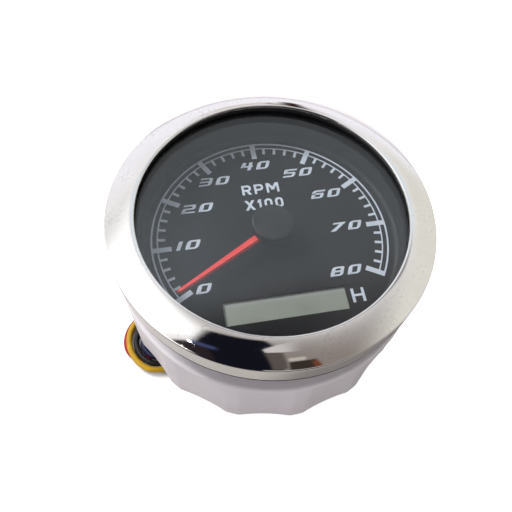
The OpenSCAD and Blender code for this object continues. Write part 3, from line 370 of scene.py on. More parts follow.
# Stainless sheet, spun and mirror polished: near white reflections, faint rings from the polishing wheel a
# quarter of a mm apart, handling marks about 9 mm wide, and specks of dust under a mm wide
bezelSteel, tree, shader, place = newMaterial("mirror-polished stainless steel", Metallic=1.0)
flat = addNode(tree, "VectorMath", {0: place, 1: (1, 1, 0)}, operation="MULTIPLY")
fromAxis = addNode(tree, "VectorMath", {0: flat}, "Value", operation="LENGTH")
height = addNode(tree, "SeparateXYZ", {"Vector": place}, "Z")
ringPlace = addNode(tree, "CombineXYZ", {"X": fromAxis, "Y": height})
rings = addNode(tree, "TexNoise", {"Vector": ringPlace, "Scale": 1 / (0.25 * mm), "Detail": 3.0})
smears = addNode(tree, "TexNoise", {"Vector": place, "Scale": 1 / (9 * mm), "Detail": 5.0, "Roughness": 0.6})
specks = addNode(tree, "TexNoise", {"Vector": place, "Scale": 1 / (0.9 * mm), "Detail": 2.0})
steel = shadeBetween(tree, smears, 0.35, 0.65, "#efeeed", "#f6f5f4")
dust = addNode(tree, "Math", {0: specks, 1: smears}, operation="MULTIPLY")
grime = addNode(tree, "MapRange", {"Value": dust, "From Min": 0.28, "From Max": 0.42, "To Max": 0.16})
colour = addNode(tree, "Mix", {"Factor": grime, 6: steel, 7: toLinear("#8c8c84")}, 2, data_type="RGBA")
haze = addNode(tree, "MapRange", {"Value": smears, "From Min": 0.35, "From Max": 0.75,
                                  "To Min": 0.03, "To Max": 0.07})
grit = addNode(tree, "MapRange", {"Value": specks, "From Min": 0.66, "From Max": 0.8, "To Max": 0.06})
dull = addNode(tree, "Math", {0: haze, 1: grit}, operation="ADD")
lift = addNode(tree, "Bump", {"Height": rings, "Strength": 0.3, "Distance": 0.0006 * mm})
setInputs(shader, {"Base Color": colour, "Roughness": dull, "Normal": lift})
putPiece("bezel_ring", [turned(bezelProfile(), bezel["segments"])], "gauge", bezelSteel,
         ["bezel"])
print("bezel made")


# Glass, its rubber seat and the black wall under it

glass = {"r": 43.2, "bottom": 52.4, "top": 54.9, "edge": 0.3}
# Float glass, cut and ground: clear, with an uneven breath of film on it; light on its way to the dial passes
# straight through
floatGlass, tree, shader, place = newMaterial("ground and polished float glass", Roughness=0.0, IOR=1.5,
                                              Transmission_Weight=1.0)
film = addNode(tree, "TexNoise", {"Vector": place, "Scale": 1 / (14 * mm), "Detail": 4.0})
setInputs(shader, {"Base Color": shadeBetween(tree, film, 0.0, 1.0, "#f2f4f3", "#fafcfd")})
paths = addNode(tree, "LightPath", {}).node.outputs
lighting = addNode(tree, "Math", {0: paths["Is Shadow Ray"], 1: paths["Is Diffuse Ray"]}, operation="MAXIMUM")
clear = addNode(tree, "BsdfTransparent", {"Color": toLinear("#f3f5f6")})
seen = addNode(tree, "MixShader", {"Fac": lighting, 1: shader.outputs["BSDF"], 2: clear})
setInputs(tree.nodes["Material Output"], {"Surface": seen})
glassProfile = roundedPath([(0, glass["bottom"], sharp), (glass["r"], glass["bottom"], glass["edge"]),
                            (glass["r"], glass["top"], glass["edge"]), (0, glass["top"], sharp)], closed=False)
putPiece("glass_disc", [turned(glassProfile, closed=False)], "gauge", floatGlass, ["lens"])

gasket = {"innerR": 39.32, "grooveR": 43.22, "outerR": 44.12, "topZ": 56.28, "slope": (40.05, 44.1),
          "gap": 0.02}
# Moulded black rubber: matt, with a dusty bloom
rubber = mottled("moulded nitrile rubber", "#101011", "#1a1a1b", 5.0, 0.25, (0.62, 0.8), 0.02, IOR=1.5)
r = np.linspace(*gasket["slope"], 12)
gasketTop = np.stack([r, np.minimum(gasket["topZ"], slopeZ(r) - bezel["sheet"] - gasket["gap"])], -1)
gasketFoot = [(gasket["innerR"], glass["top"]), (gasket["grooveR"], glass["top"]),
              (gasket["grooveR"], glass["bottom"]), (gasket["outerR"], glass["bottom"])]
gasketLip = np.array([(0.18, 0), (0.04, -0.08), (0, -0.23)]) + (gasket["innerR"], gasket["topZ"])
gasketProfile = np.concatenate([gasketFoot, gasketTop[::-1], gasketLip])
putPiece("glass_gasket", [turned(gasketProfile)], "gauge", rubber, ["lens_gasket"])

trim = {"topR": 39.3, "footR": 38.8, "backR": 39.8, "rimR": 44.12, "dialZ": 42.0, "rimZ": 51.6, "topZ": 52.4,
        "edge": 0.15, "cove": 1.5}
# Injection-moulded ABS wall with a fine spark-eroded texture: near black, evenly dull
trimPlastic = mottled("spark-textured black ABS", "#121316", "#191a1e", 8.0, 0.12, (0.5, 0.56), 0.0005,
                      IOR=1.53, Specular_IOR_Level=0.25)
trimEdge = arcPoints((trim["topR"] + trim["edge"], trim["topZ"] - trim["edge"]), trim["edge"], 90, 177, 6)
trimWall = np.linspace((trim["topR"] - 0.01, trim["topZ"] - 2 * trim["edge"]),
                       (trim["footR"] + 0.01, trim["dialZ"] + trim["cove"] + 0.1), 10)
trimCove = arcPoints((trim["footR"] - trim["cove"], trim["dialZ"] + trim["cove"]), trim["cove"], 0, -84, 16)
trimBack = [(trim["footR"] - trim["cove"], trim["dialZ"]), (trim["backR"], trim["dialZ"]),
            (trim["backR"], trim["rimZ"]), (trim["rimR"], trim["rimZ"]), (trim["rimR"], trim["topZ"])]
trimProfile = np.concatenate([trimEdge, trimWall, trimCove, trimBack])
putPiece("trim_wall", [turned(trimProfile)], "gauge", trimPlastic, ["trim_ring"])
print("glass, seat and wall made")


# Dial: printed film on its plate, marks and numbers as a thin layer of ink

# Polycarbonate film screen-printed matt black: a fine even grain, slightly uneven in gloss
dialFilm = mottled("screen-printed matt polycarbonate film", "#17181c", "#1c1d21", 18.0, 0.18, (0.62, 0.64),
                   0.0001, IOR=1.58, Specular_IOR_Level=0.1)
# Screen-printing ink: pale bluish white, chalky, a little thinner in places
printInk = mottled("screen-printed white ink", "#cdd5e4", "#e0e6f2", 3.0, 0.2, (0.5, 0.68), 0.004, IOR=1.5)

# An arc has its radius and half width, a mark its inner and outer radius and half width
dial = {"faceZ": 42.0, "inkZ": 42.06, "inkLayer": 0.002, "firstMark": 210.0, "lastMark": -30.0, "steps": 8,
        "fine": 5, "outerArc": (35.6, 0.26), "innerArc": (33.9, 0.2), "longMark": (29.9, 35.86, 0.8),
        "fineMark": (31.6, 33.9, 0.41), "arcSteps": 240}
numbers = {"style": {"height": 3.0, "pen": (0.58, 0.27), "gap": 1.35, "slant": 0.42, "heavierLeft": 0.07},
           "centres": [(-22.3, -14.5), (-24.9, 0.6), (-20.55, 13.3), (-14.0, 22.75), (-0.33, 27.1),
                       (12.85, 22.7), (20.05, 13.3), (23.7, 0.43), (19.75, -14.9)]}
legends = [("RPM", (-0.21, 17.93), {"height": 3.62, "pen": (0.37, 0.34), "gap": 0.95}),
           ("X100", (-0.05, 12.1), {"height": 3.62, "pen": (0.36, 0.33), "gap": 0.89}),
           ("H", (21.3, -23.42), {"height": 4.5, "pen": (0.42, 0.36), "gap": 0})]

# Width in mm and strokes of each sign, in a box from -1 to 1: a loop is closed, a line runs on past its ends
# by the pen's reach, and a lean stroke has level ends. Points are (x, y, corner radius in mm).
figures = {
    "0": (3.9, [("loop", [(-1, -1, 0.12), (1, -1, 0.75), (1, 1, 0.25), (-1, 1, 0.75)])]),
    "1": (1.4, [("line", [(0, -1, 0), (0, 1, 0)])]),
    "2": (3.9, [("line", [(-1, 1, 0), (1, 1, 0.4), (1, 0.02, 0.3), (-1, -0.02, 0.4), (-1, -1, 0.02),
                          (1.1, -1, 0)])]),
    "3": (3.9, [("line", [(-1, 1, 0), (1, 1, 0.35), (1, -1, 0.75), (-1, -1, 0)]),
                ("line", [(-1, 0, 0), (0.9, 0, 0)])]),
    "4": (3.9, [("line", [(-0.8, 1, 0), (-1, -0.05, 0.02), (1, -0.05, 0)]),
                ("line", [(0.72, 1, 0), (0.72, -1, 0)])]),
    "5": (3.9, [("line", [(1.1, 1, 0), (-1, 1, 0.02), (-1, 0.08, 0.02), (1, 0.08, 0.3), (1, -1, 0.7),
                          (-1, -1, 0)])]),
    "6": (3.9, [("line", [(1.1, 1, 0), (-1, 1, 0.75), (-1, -1, 0.12), (1, -1, 0.7), (1, 0.12, 0.25),
                          (-1, 0.12, 0)])]),
    "7": (3.9, [("line", [(-1, 1, 0), (0.9, 1, 0)]), ("lean", [(0.82, 1, 0), (-0.85, -1, 0)])]),
    "8": (3.9, [("loop", [(-1, -1, 0.15), (1, -1, 0.6), (1, 0, 0.2), (-1, 0, 0.2)]),
                ("loop", [(-0.94, 0, 0.2), (0.94, 0, 0.2), (1, 1, 0.3), (-0.94, 1, 0.6)])]),
}
letters = {
    "R": (2.96, [("line", [(-1, -1, 0), (-1, 1, 0)]),
                 ("line", [(-1, 1, 0), (1, 1, 0.75), (1, -0.1, 0.75), (-1, -0.1, 0)]),
                 ("lean", [(0.1, -0.1, 0), (0.75, -1, 0)])]),
    "P": (2.92, [("line", [(-1, -1, 0), (-1, 1, 0)]),
                 ("line", [(-1, 1, 0), (1, 1, 0.75), (1, -0.2, 0.75), (-1, -0.2, 0)])]),
    "M": (4.0, [("line", [(-1, -1, 0), (-1, 1, 0)]), ("line", [(1, 1, 0), (1, -1, 0)]),
                ("lean", [(-0.75, 1, 0), (0, -0.3, 0)]), ("lean", [(0.75, 1, 0), (0, -0.3, 0)])]),
    "X": (3.29, [("lean", [(-0.71, -1, 0), (0.71, 1, 0)]), ("lean", [(-0.71, 1, 0), (0.71, -1, 0)])]),
    "1": (1.14, [("line", [(0.6, -1, 0), (0.6, 1, 0)]), ("lean", [(-0.9, 0.7, 0), (0.2, 1, 0)])]),
    "0": (2.5, [("loop", [(-1, -1, 0.8), (1, -1, 0.8), (1, 1, 0.8), (-1, 1, 0.8)])]),
    "H": (3.93, [("line", [(-1, -1, 0), (-1, 1, 0)]), ("line", [(1, -1, 0), (1, 1, 0)]),
                 ("line", [(-1, 0, 0), (1, 0, 0)])]),
}


def ribbon(path, pen, closed=False, lean=False, layer=0):
    # Flat bar of ink along a path: its edges lie to both sides by the reach of an elliptic pen square to the
    # heading; a lean bar's edges lie level with the path, 1.27 of the pen's half width away. Each layer of ink
    # is 2 microns higher.
    ahead = np.roll(path, -1, 0) - np.roll(path, 1, 0) if closed else np.gradient(path, axis=0)
    ahead /= np.linalg.norm(ahead, axis=1, keepdims=True)
    left = np.stack([-ahead[:, 1], ahead[:, 0]], -1)
    reach = left * np.hypot(pen[0] * left[:, :1], pen[1] * left[:, 1:])
    if lean:
        reach = 1.27 * pen[0] * np.sign(left[:, :1]) * (1, 0)
    sides = np.stack([path - reach, path + reach, path + reach, path - reach], 1)
    top = dial["inkZ"] + dial["inkLayer"] * layer
    height = np.broadcast_to(np.array([top, top, dial["faceZ"], dial["faceZ"]]), sides.shape[:2])
    return swept(np.concatenate([sides, height[..., None]], -1), closed)


def sign(strokes, width, height, pen, slant, centre, heavierLeft=0.0):
    # One figure or letter: its strokes scaled to the box less the pen, leant over by slant and set at a centre
    shells = []
    for layer, (kind, corners) in enumerate(strokes):
        corners = np.array(corners, float) * (width / 2 - pen[0], height / 2 - pen[1], 1)
        path = roundedPath(corners, 8, kind == "loop") if len(corners) > 2 else corners[:, :2]
        if kind != "loop":
            ends = np.stack([path[0] - path[1], path[-1] - path[-2]])
            ends /= np.linalg.norm(ends, axis=1, keepdims=True)
            if kind == "line":
                ends *= np.hypot(pen[0] * ends[:, :1], pen[1] * ends[:, 1:])
            else:  # as far as the level of the pen's edge, and no more than its whole height
                ends *= np.minimum(pen[1] / np.abs(ends[:, 1:]), 2 * pen[1])
            path = np.concatenate([path[:1] + ends[:1], path[1:-1], path[-1:] + ends[1:]])
        thick = pen[0] - heavierLeft * path[:, :1] / (width / 2)  # the left strokes are a little heavier
        points, faces = ribbon(path, (thick, pen[1]), kind == "loop", kind == "lean", layer)
        shells.append((points + slant * points[:, 1:2] * (1, 0, 0) + (*centre, 0), faces))
    return shells


def arcRibbon(radius, half):
    # Arc of ink from the first mark to the last, as wide as twice half
    arc = arcPoints((0, 0), radius, dial["firstMark"], dial["lastMark"], dial["arcSteps"])
    return ribbon(arc, (half, half))


def ray(degrees, inner, outer, half):
    # Straight mark from radius inner to outer, over the arcs
    direction = np.array([[np.cos(np.radians(degrees)), np.sin(np.radians(degrees))]])
    return ribbon(np.array([[inner], [outer]]) * direction, (half, half), layer=1)


def written(text, signs, centre, height, pen, gap, slant=0.0, heavierLeft=0.0):
    # Signs side by side with a gap between their boxes, centred as a whole
    widths = np.array([signs[letter][0] for letter in text])
    starts = np.cumsum(widths + gap) - widths - gap - (widths.sum() + gap * (len(text) - 1)) / 2
    shells = []
    for letter, width, start in zip(text, widths, starts):
        middle = (centre[0] + start + width / 2, centre[1])
        shells += sign(signs[letter][1], width, height, pen, slant, middle, heavierLeft)
    return shells


step = (dial["lastMark"] - dial["firstMark"]) / dial["steps"]
ink = [arcRibbon(*dial["outerArc"]), arcRibbon(*dial["innerArc"])]
ink += [ray(dial["firstMark"] + i * step, *dial["longMark"]) for i in range(dial["steps"] + 1)]
ink += [ray(dial["firstMark"] + (i + j / dial["fine"]) * step, *dial["fineMark"])
        for i in range(dial["steps"]) for j in range(1, dial["fine"])]
for i, centre in enumerate(numbers["centres"]):
    ink += written(str(10 * i), figures, centre, **numbers["style"])
for text, centre, style in legends:
    ink += written(text, letters, centre, **style)
putPiece("dial_marks", ink, "gauge", printInk, ["dial_print"])
print("dial marks made:", len(ink), "strokes")


# Pointer and its cap

pointer = {"turn": 210.0, "length": 34.4, "rootWidth": 2.6, "tipWidth": 1.3, "foot": 46.4, "step": 46.95,
           "top": 47.5, "stepWidth": 0.3, "bevel": 0.12, "hubR": 5.35, "tubeR": 1.75, "tubeFoot": 43.0,
           "shaftR": 0.77, "shaftTop": 47.42}
# Injection-moulded red polycarbonate: even satin red, faint flow marks
pointerRed = mottled("moulded red polycarbonate", "#f0383a", "#fa4c4a", 5.0, 0.3, (0.3, 0.42), 0.006, IOR=1.58)


def bladeSections():
    # Stepped bar that narrows from the root to 1 mm before the tip, then to a third; its step narrows with it
    foot, step, top, bevel, length = (pointer[key] for key in ("foot", "step", "top", "bevel", "length"))
    x = np.array([0, 6, 12, 18, 24, 30, length - 1, length - 0.5, length])
    widths = [pointer["rootWidth"] / 2, pointer["tipWidth"] / 2, 0.3 * pointer["tipWidth"]]
    half = np.interp(x, [0, length - 1, length], widths)
    drop = pointer["stepWidth"] * half / half[0]
    y = np.stack([-half, -half, -half + drop, -half + drop, -half + drop + bevel,
                  half - drop - bevel, half - drop, half - drop, half, half], 1)
    z = np.array([foot, step, step, top - bevel, top, top, top - bevel, step, step, foot])
    return np.stack([np.broadcast_to(x[:, None], y.shape), y, np.broadcast_to(z, y.shape)], -1)


hubProfile = np.array([(0, pointer["shaftTop"]), (pointer["shaftR"], pointer["shaftTop"]),
                       (pointer["shaftR"], pointer["tubeFoot"]), (pointer["tubeR"], pointer["tubeFoot"]),
                       (pointer["tubeR"], pointer["foot"]), (pointer["hubR"], pointer["foot"]),
                       (pointer["hubR"], pointer["top"]), (0, pointer["top"])])
blade = turnedBy(swept(bladeSections()), pointer["turn"])
putPiece("pointer_blade", [blade, turned(hubProfile, 96, closed=False)], "pointer", pointerRed,
         ["pointer"])

cap = {"r": 6.2, "foot": 46.4, "seat": 47.5, "top": 50.2, "edge": 0.55, "wall": 0.8, "slotHalf": 1.35,
       "lap": 0.05}
# Moulded black ABS cap: matt, with painted shade that darkens its wall to near black below the top
capPlastic = mottled("moulded matt black ABS", "#09090b", "#101113", 4.0, 0.15, (0.5, 0.6), 0.004,
                     IOR=1.53, Specular_IOR_Level=0.3)
# Painted shade: the cap's wall goes near black from 0.2 to 0.5 mm below its top
overlaid(capPlastic, "Z", cap["top"] - 0.2, cap["top"] - 0.5, 0.9, "#020203")
roof = roundedPath([(0, cap["seat"], sharp), (cap["r"], cap["seat"], 0.02),
                    (cap["r"], cap["top"], cap["edge"]), (0, cap["top"], sharp)], 10, closed=False)
skirtInner, skirtTop = cap["r"] - cap["wall"], cap["seat"] + cap["lap"]
skirtRing = roundedPath([(skirtInner, cap["foot"], 0.1), (cap["r"], cap["foot"], 0.15),
                         (cap["r"], skirtTop, 0.02), (skirtInner, skirtTop, 0.02)], 4)
gapTurn = np.arcsin(cap["slotHalf"] / cap["r"])  # the skirt leaves a gap for the blade
a = np.linspace(gapTurn, fullTurn - gapTurn, 97)[:, None]
skirt = np.stack([skirtRing[:, 0] * np.cos(a), skirtRing[:, 0] * np.sin(a), skirtRing[:, 1] + 0 * a], -1)
putPiece("cap_cover", [turned(roof, 128, closed=False), turnedBy(swept(skirt), pointer["turn"])],
         "pointer", capPlastic, ["pointer_cap"])
print("pointer made")


# Case, the grommet round the wires and the panel's seal

case = {"barrelR": 42.0, "boreR": 40.0, "rearZ": 7.0, "floorZ": 9.5, "flangeZ": 47.5, "bossR": 24.0,
        "bossBoreR": 21.5, "bossFloor": 1.5, "threadPitch": 3.0, "threadDepth": 0.65, "threadFrom": 10.5,
        "threadTo": 44.5, "angles": 240, "rimR": 45.95, "rimZ": 49.9, "seatR": 44.12, "seatZ": 51.6,
        "postR": 33.0, "postTurns": (90, 210, 330), "postRadius": 3.0, "screwR": 1.25, "screwDepth": 10.0,
        "boardZ": 33.6}
grommet = {"width": 11.9, "height": 4.4, "z": 3.4, "inner": -20.5, "outer": -25.5, "edge": 0.6,
           "hole": (-18.5, -26.0)}
seal = {"innerR": 42.15, "outerR": 46.8, "foot": 45.6, "top": 46.7}
# Injection-moulded white ABS: slightly warm white, satin, with faint sink and flow variation
caseWhite = mottled("moulded white ABS case", "#d3d0d3", "#dcdadb", 25.0, 0.3, (0.36, 0.5), 0.01,
                    IOR=1.53, **milky(0.06, 3))


def cupProfile():
    # Rear wall, boss and their inside
    bossR, rearZ, floorZ, barrelR = (case[key] for key in ("bossR", "rearZ", "floorZ", "barrelR"))
    boreR, bossBoreR, bossFloor = case["boreR"], case["bossBoreR"], case["bossFloor"]
    outside = [(0, 0, sharp), (bossR, 0, 0.8), (bossR, rearZ, 0.4), (barrelR, rearZ, 0.6)]
    inside = [(barrelR, floorZ, sharp), (boreR, floorZ, sharp), (bossBoreR, floorZ, 0.4),
              (bossBoreR, bossFloor, 0.5), (0, bossFloor, sharp)]
    return roundedPath(outside + inside, 6, closed=False, support=0.5)


def barrelProfiles():
    # For each angle the barrel's wall: a thread of one start climbs by a pitch in each turn, its flanks slope
    # and its ends run out within 1 mm
    z = np.linspace(case["floorZ"], case["flangeZ"], 180)
    share = np.arange(case["angles"])[:, None] / case["angles"]
    turns = (z[None] - case["floorZ"]) / case["threadPitch"] - share
    tooth = np.clip(1.6 * (1 - 2 * np.abs(turns % 1 * 2 - 1)) + 0.5, 0, 1)
    fade = np.clip(z - case["threadFrom"], 0, 1) * np.clip(case["threadTo"] - z, 0, 1)
    threadR = case["barrelR"] - case["threadDepth"] * (1 - tooth) * fade
    bore = np.array([(case["boreR"], case["flangeZ"]), (case["boreR"], case["floorZ"])])
    outside = np.stack([threadR, np.broadcast_to(z, threadR.shape)], -1)
    return np.concatenate([outside, np.broadcast_to(bore, (case["angles"], 2, 2))], 1)


def rimProfile():
    # Flange on top of the barrel and the seat that stands on it
    boreR, rimR, rimZ, seatR, seatZ = (case[key] for key in ("boreR", "rimR", "rimZ", "seatR", "seatZ"))
    return roundedPath([(boreR, case["flangeZ"], sharp), (rimR, case["flangeZ"], 0.15), (rimR, rimZ, 0.3),
                        (seatR, rimZ, 0.2), (seatR, seatZ, 0.2), (boreR, seatZ, 0.1)], 4)


def postShell(degrees):
    # Screw post with its blind hole, from just inside the rear wall up to the board
    r, hole, top = case["postRadius"], case["screwR"], case["boardZ"]
    profile = np.array([(0, case["floorZ"] - 0.1), (r, case["floorZ"] - 0.1), (r, top - 0.2), (r - 0.2, top),
                        (hole, top), (hole, top - case["screwDepth"]), (0, top - case["screwDepth"])])
    a = np.radians(degrees)
    return turned(profile, 48, closed=False, centre=(case["postR"] * np.cos(a), case["postR"] * np.sin(a)))


def stadiumLoop(width, height, count):
    # Outline of a flat bar with round ends, as (y, z) about the wires' middle
    end = arcPoints(((width - height) / 2, 0), height / 2, -90, 90, count - 1)
    return np.concatenate([end, -end]) + (0, grommet["z"])


caseCup = putPiece("case_cup", [turned(cupProfile(), 192, closed=False)], "gauge", caseWhite)
loop = stadiumLoop(grommet["width"], grommet["height"], 16)
hole = np.stack([np.column_stack([np.full(len(loop), x), loop]) for x in grommet["hole"]])
holeCutter = putPiece("hole_cutter", [swept(hole)], "gauge", caseWhite)
cut = caseCup.modifiers.new("wire hole", "BOOLEAN")
cut.object, cut.operation, cut.solver = holeCutter, "DIFFERENCE", "EXACT"
caseCup.data = bpy.data.meshes.new_from_object(caseCup.evaluated_get(bpy.context.evaluated_depsgraph_get()))
caseCup.modifiers.clear()
bpy.data.objects.remove(holeCutter)
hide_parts("case")
barrel = [turned(barrelProfiles(), case["angles"]), turned(rimProfile(), case["angles"])]
putPiece("case_barrel", barrel + [postShell(t) for t in case["postTurns"]], "gauge", caseWhite)

bend = np.linspace(0.2, np.pi / 2, 8)  # the grommet's outer edge is rounded
x = np.concatenate([[grommet["inner"], grommet["outer"] + grommet["edge"]],
                    grommet["outer"] + grommet["edge"] * (1 - np.sin(bend))])
shrink = np.concatenate([[0, 0], grommet["edge"] * (1 - np.cos(bend))])
loops = np.stack([stadiumLoop(grommet["width"] - 2 * s, grommet["height"] - 2 * s, 20) for s in shrink])
grommetSections = np.concatenate([np.broadcast_to(x[:, None, None], loops.shape[:2] + (1,)), loops], -1)
putPiece("wire_grommet", [swept(grommetSections)], "gauge", rubber, ["grommet"])
sealProfile = roundedPath([(seal["innerR"], seal["foot"], 0.25), (seal["outerR"], seal["foot"], 0.35),
                           (seal["outerR"], seal["top"], 0.2), (seal["innerR"], seal["top"], 0.25)], 6)
putPiece("panel_seal", [turned(sealProfile)], "gauge", rubber, ["panel_gasket"])
print("case made")


# Locking ring

ring = {"foot": 7.5, "height": 28.3, "topR": 46.3, "footR": 45.2, "boreR": 42.09, "scallops": 14,
        "hollowR": 60.0, "depth": 1.25, "turn": 1.9, "edge": 0.6, "ridge": 0.08, "collar": 26.7,
        "topRound": 1.0, "anglesEach": 48}
# Injection-moulded white ABS ring: a little cooler white, satin
ringWhite = mottled("moulded white ABS ring", "#d2cfd5", "#dcdadf", 20.0, 0.3, (0.34, 0.48), 0.01,
                    IOR=1.53, **milky(0.06, 3))
ringAngles = ring["scallops"] * ring["anglesEach"]


def ringRadius(height):
    # Outer radius at an angle and height: the tapered cone, or the hollow's cylinder where that lies deeper,
    # with the ridge between the two rounded by a smooth minimum
    each = fullTurn / ring["scallops"]
    a = fullTurn * np.arange(ringAngles)[:, None] / ringAngles - np.radians(ring["turn"])
    fromHollow = (a + each / 2) % each - each / 2
    cone = ring["footR"] + (ring["topR"] - ring["footR"]) * height / ring["height"]
    centre = cone - ring["depth"] + ring["hollowR"]
    hollow = centre * np.cos(fromHollow) - np.sqrt(ring["hollowR"] ** 2 - (centre * np.sin(fromHollow)) ** 2)
    apart = np.clip(0.5 + 0.5 * (hollow - cone) / ring["ridge"], 0, 1)
    return hollow * (1 - apart) + cone * apart - ring["ridge"] * apart * (1 - apart)


def ringProfiles():
    # For each angle: out along the foot, up the scalloped side to the round-edged collar, and in along the top
    bend = np.linspace(0, np.pi / 2, 9)
    side = np.linspace(ring["edge"] + 0.3, ring["collar"] - 0.2, 20)
    body = np.concatenate([ring["edge"] * (1 - np.cos(bend)), side, [ring["collar"]]])
    bodyR = ringRadius(body[None]) - np.concatenate([ring["edge"] * (1 - np.sin(bend)), 0 * side, [0]])
    topEdge = (ring["topR"] - ring["topRound"], ring["height"] - ring["topRound"])
    collarFoot = np.array([(-0.1, 0.02), (-0.02, 0.06), (0, 0.14)]) + (ring["topR"], ring["collar"])
    collar = np.concatenate([collarFoot, arcPoints(topEdge, ring["topRound"], 0, 90, 10)])
    share = np.array([0.0, 0.35, 0.7, 0.93])
    bottomR = ring["boreR"] + (bodyR[:, :1] - ring["boreR"]) * share
    topR = ring["boreR"] + (collar[-1, 0] - ring["boreR"]) * share[::-1]
    collarR, topR = (np.broadcast_to(v, (ringAngles, len(v))) for v in (collar[:, 0], topR))
    radii = np.concatenate([bottomR, bodyR, collarR, topR], 1)
    levels = np.concatenate([0 * share, body, collar[:, 1], 0 * share + ring["height"]]) + ring["foot"]
    return np.stack([radii, np.broadcast_to(levels, radii.shape)], -1)


putPiece("ring_body", [turned(ringProfiles(), ringAngles)], "locking_ring", ringWhite,
         ["locking_ring"])
print("locking ring made")


# Materials of the CAD nodes that stay

def give(material, *nodes):
    # The material in place of the one that came with each node
    for name in nodes:
        cadNodes[name].data.materials.clear()
        cadNodes[name].data.materials.append(material)


def bandedByHeight(name, height, colours, grain, roughness, bump, **sockets):
    # Moulded colour that changes at a height in mm, with a fine grain over both colours
    made, tree, shader, place = newMaterial(name, **sockets)
    z = addNode(tree, "SeparateXYZ", {"Vector": place}, "Z")
    fine = addNode(tree, "TexNoise", {"Vector": place, "Scale": 1 / (grain * mm), "Detail": 4.0})
    above = addNode(tree, "Math", {0: z, 1: height * mm}, operation="GREATER_THAN")
    both = {"Factor": above, 6: toLinear(colours[0]), 7: toLinear(colours[1])}
    shade = addNode(tree, "MapRange", {"Value": fine, "From Min": 0.3, "From Max": 0.7, "To Min": 0.85})
    toned = {0: addNode(tree, "Mix", both, 2, data_type="RGBA"), "Scale": shade}
    colour = addNode(tree, "VectorMath", toned, operation="SCALE")
    setSurface(tree, shader, colour, fine, roughness, bump)
    return made


def striped(name, base, line, spacing, direction, share, roughness, bump, **sockets):
    # Fine parallel lines a spacing in mm apart, such as wound wire or conducting stripes
    made, tree, shader, place = newMaterial(name, **sockets)
    bands = {"Vector": place, "Scale": 0.314 / (spacing * mm), "Distortion": 0.4, "Detail": 1.0,
             "Detail Scale": 2.0}
    waves = addNode(tree, "TexWave", bands, "Fac", bands_direction=direction)
    colour = shadeBetween(tree, waves, share - 0.15, share + 0.15, line, base)
    setSurface(tree, shader, colour, waves, roughness[::-1], bump)
    return made


give(dialFilm, "dial_plate")
give(trimPlastic, "display_frame")
give(tinnedCopper, "terminal_pins")
# Cast milky PMMA plate: soft white that lets light in
give(mottled("milky acrylic light guide", "#dfe0de", "#eceded", 12.0, 0.4, (0.25, 0.35), 0.004,
             IOR=1.49, **milky(0.4, 4)), "light_guide")
# Display glass with a polariser film: greenish grey, satin, with a painted reflection that makes it paler at
# its far edge
displayFilm = mottled("display glass with polariser film", "#8f948a", "#9da298", 14.0, 0.25, (0.28, 0.36),
                      0.002, IOR=1.5, Coat_Weight=0.4, Coat_Roughness=0.15)
# Painted reflection: a pale lilac band laid over the display's far edge
give(overlaid(displayFilm, "Y", -21.5, -20.6, 0.3, "#b9b6c0"), "display_glass")
# Moulded white polycarbonate: bright, slightly see-through
give(mottled("white polycarbonate backlight", "#e3e4e0", "#f0f0ec", 6.0, 0.3, (0.3, 0.42), 0.004,
             IOR=1.58, **milky(0.3, 3)), "display_backlight")
# Silicone strip with conducting carbon lines, drawn 0.3 mm apart so that they show
give(striped("silicone strip with carbon lines", "#c98f8f", "#2a2022", 0.3, "X", 0.5, (0.5, 0.6), 0.01,
             IOR=1.43), "contact_strips")
# Glass-fibre laminate under green solder mask: glossy, weave of 0.6 mm under the lacquer
give(striped("solder-masked laminate", "#14512f", "#0d3d22", 0.6, "DIAGONAL", 0.45, (0.22, 0.34), 0.008,
             IOR=1.5, Coat_Weight=0.5, Coat_Roughness=0.1), "circuit_board")
# Lamp packages: white nylon body, yellow phosphor resin on top
give(bandedByHeight("nylon lamp with phosphor resin", 35.9, ("#e6e4dc", "#d9b64a"), 0.15, (0.3, 0.45), 0.004,
                    IOR=1.53), "lamps")
# Transfer-moulded epoxy: dull near-black with a fine grit
give(mottled("moulded chip epoxy", "#1a1a1b", "#232324", 3.0, 0.08, (0.55, 0.7), 0.006, IOR=1.55),
     "control_chip", "voltage_regulator")
# Capacitor: bare aluminium end, dark shrunk sleeve above it
give(bandedByHeight("aluminium can in shrunk sleeve", 26.1, ("#b9babb", "#22262f"), 0.2, (0.25, 0.4), 0.004,
                    IOR=1.5), "capacitor")
# Moulded natural nylon: warm cream, waxy
give(mottled("natural nylon plug socket", "#d9d2bd", "#e6e0cd", 4.0, 0.2, (0.4, 0.5), 0.006,
             IOR=1.53, **milky(0.1, 2)), "wire_header")
# Zinc-plated steel: pale grey, cloudy
give(mottled("zinc-plated steel screw", "#9a9b98", "#c3c4c2", 1.2, 0.12, (0.25, 0.4), 0.006, Metallic=1.0),
     "board_screws")
# Moulded glass-filled PBT: dark grey, dull from the fibres at its surface
give(mottled("glass-filled PBT movement case", "#232427", "#2e2f33", 5.0, 0.12, (0.5, 0.65), 0.01, IOR=1.57),
     "movement_base", "movement_cover")
# Stamped silicon steel: plain grey sheet with rolling haze
give(mottled("stamped silicon-steel stator", "#6f7072", "#8c8d8e", 2.0, 0.15, (0.3, 0.5), 0.008, Metallic=1.0),
     "stator")
# Enamelled copper windings, drawn 0.2 mm apart so that they show
give(striped("wound enamelled copper", "#b5672f", "#6d3415", 0.2, "X", 0.4, (0.25, 0.4), 0.03,
             Metallic=0.9), "coils")
# Rotor: grey ferrite magnet below, white acetal pinion above
give(bandedByHeight("ferrite magnet and acetal pinion", 29.05, ("#3c3c40", "#e0dfd9"), 0.15, (0.4, 0.55),
                    0.006, IOR=1.5), "rotor")
# Moulded acetal: slippery milk white
give(mottled("moulded white acetal", "#dbdad4", "#e9e8e3", 4.0, 0.15, (0.3, 0.42), 0.004,
             IOR=1.48, **milky(0.1, 2)), "middle_gear", "shaft_gear")
print("CAD node materials given")


# Floor, in metres

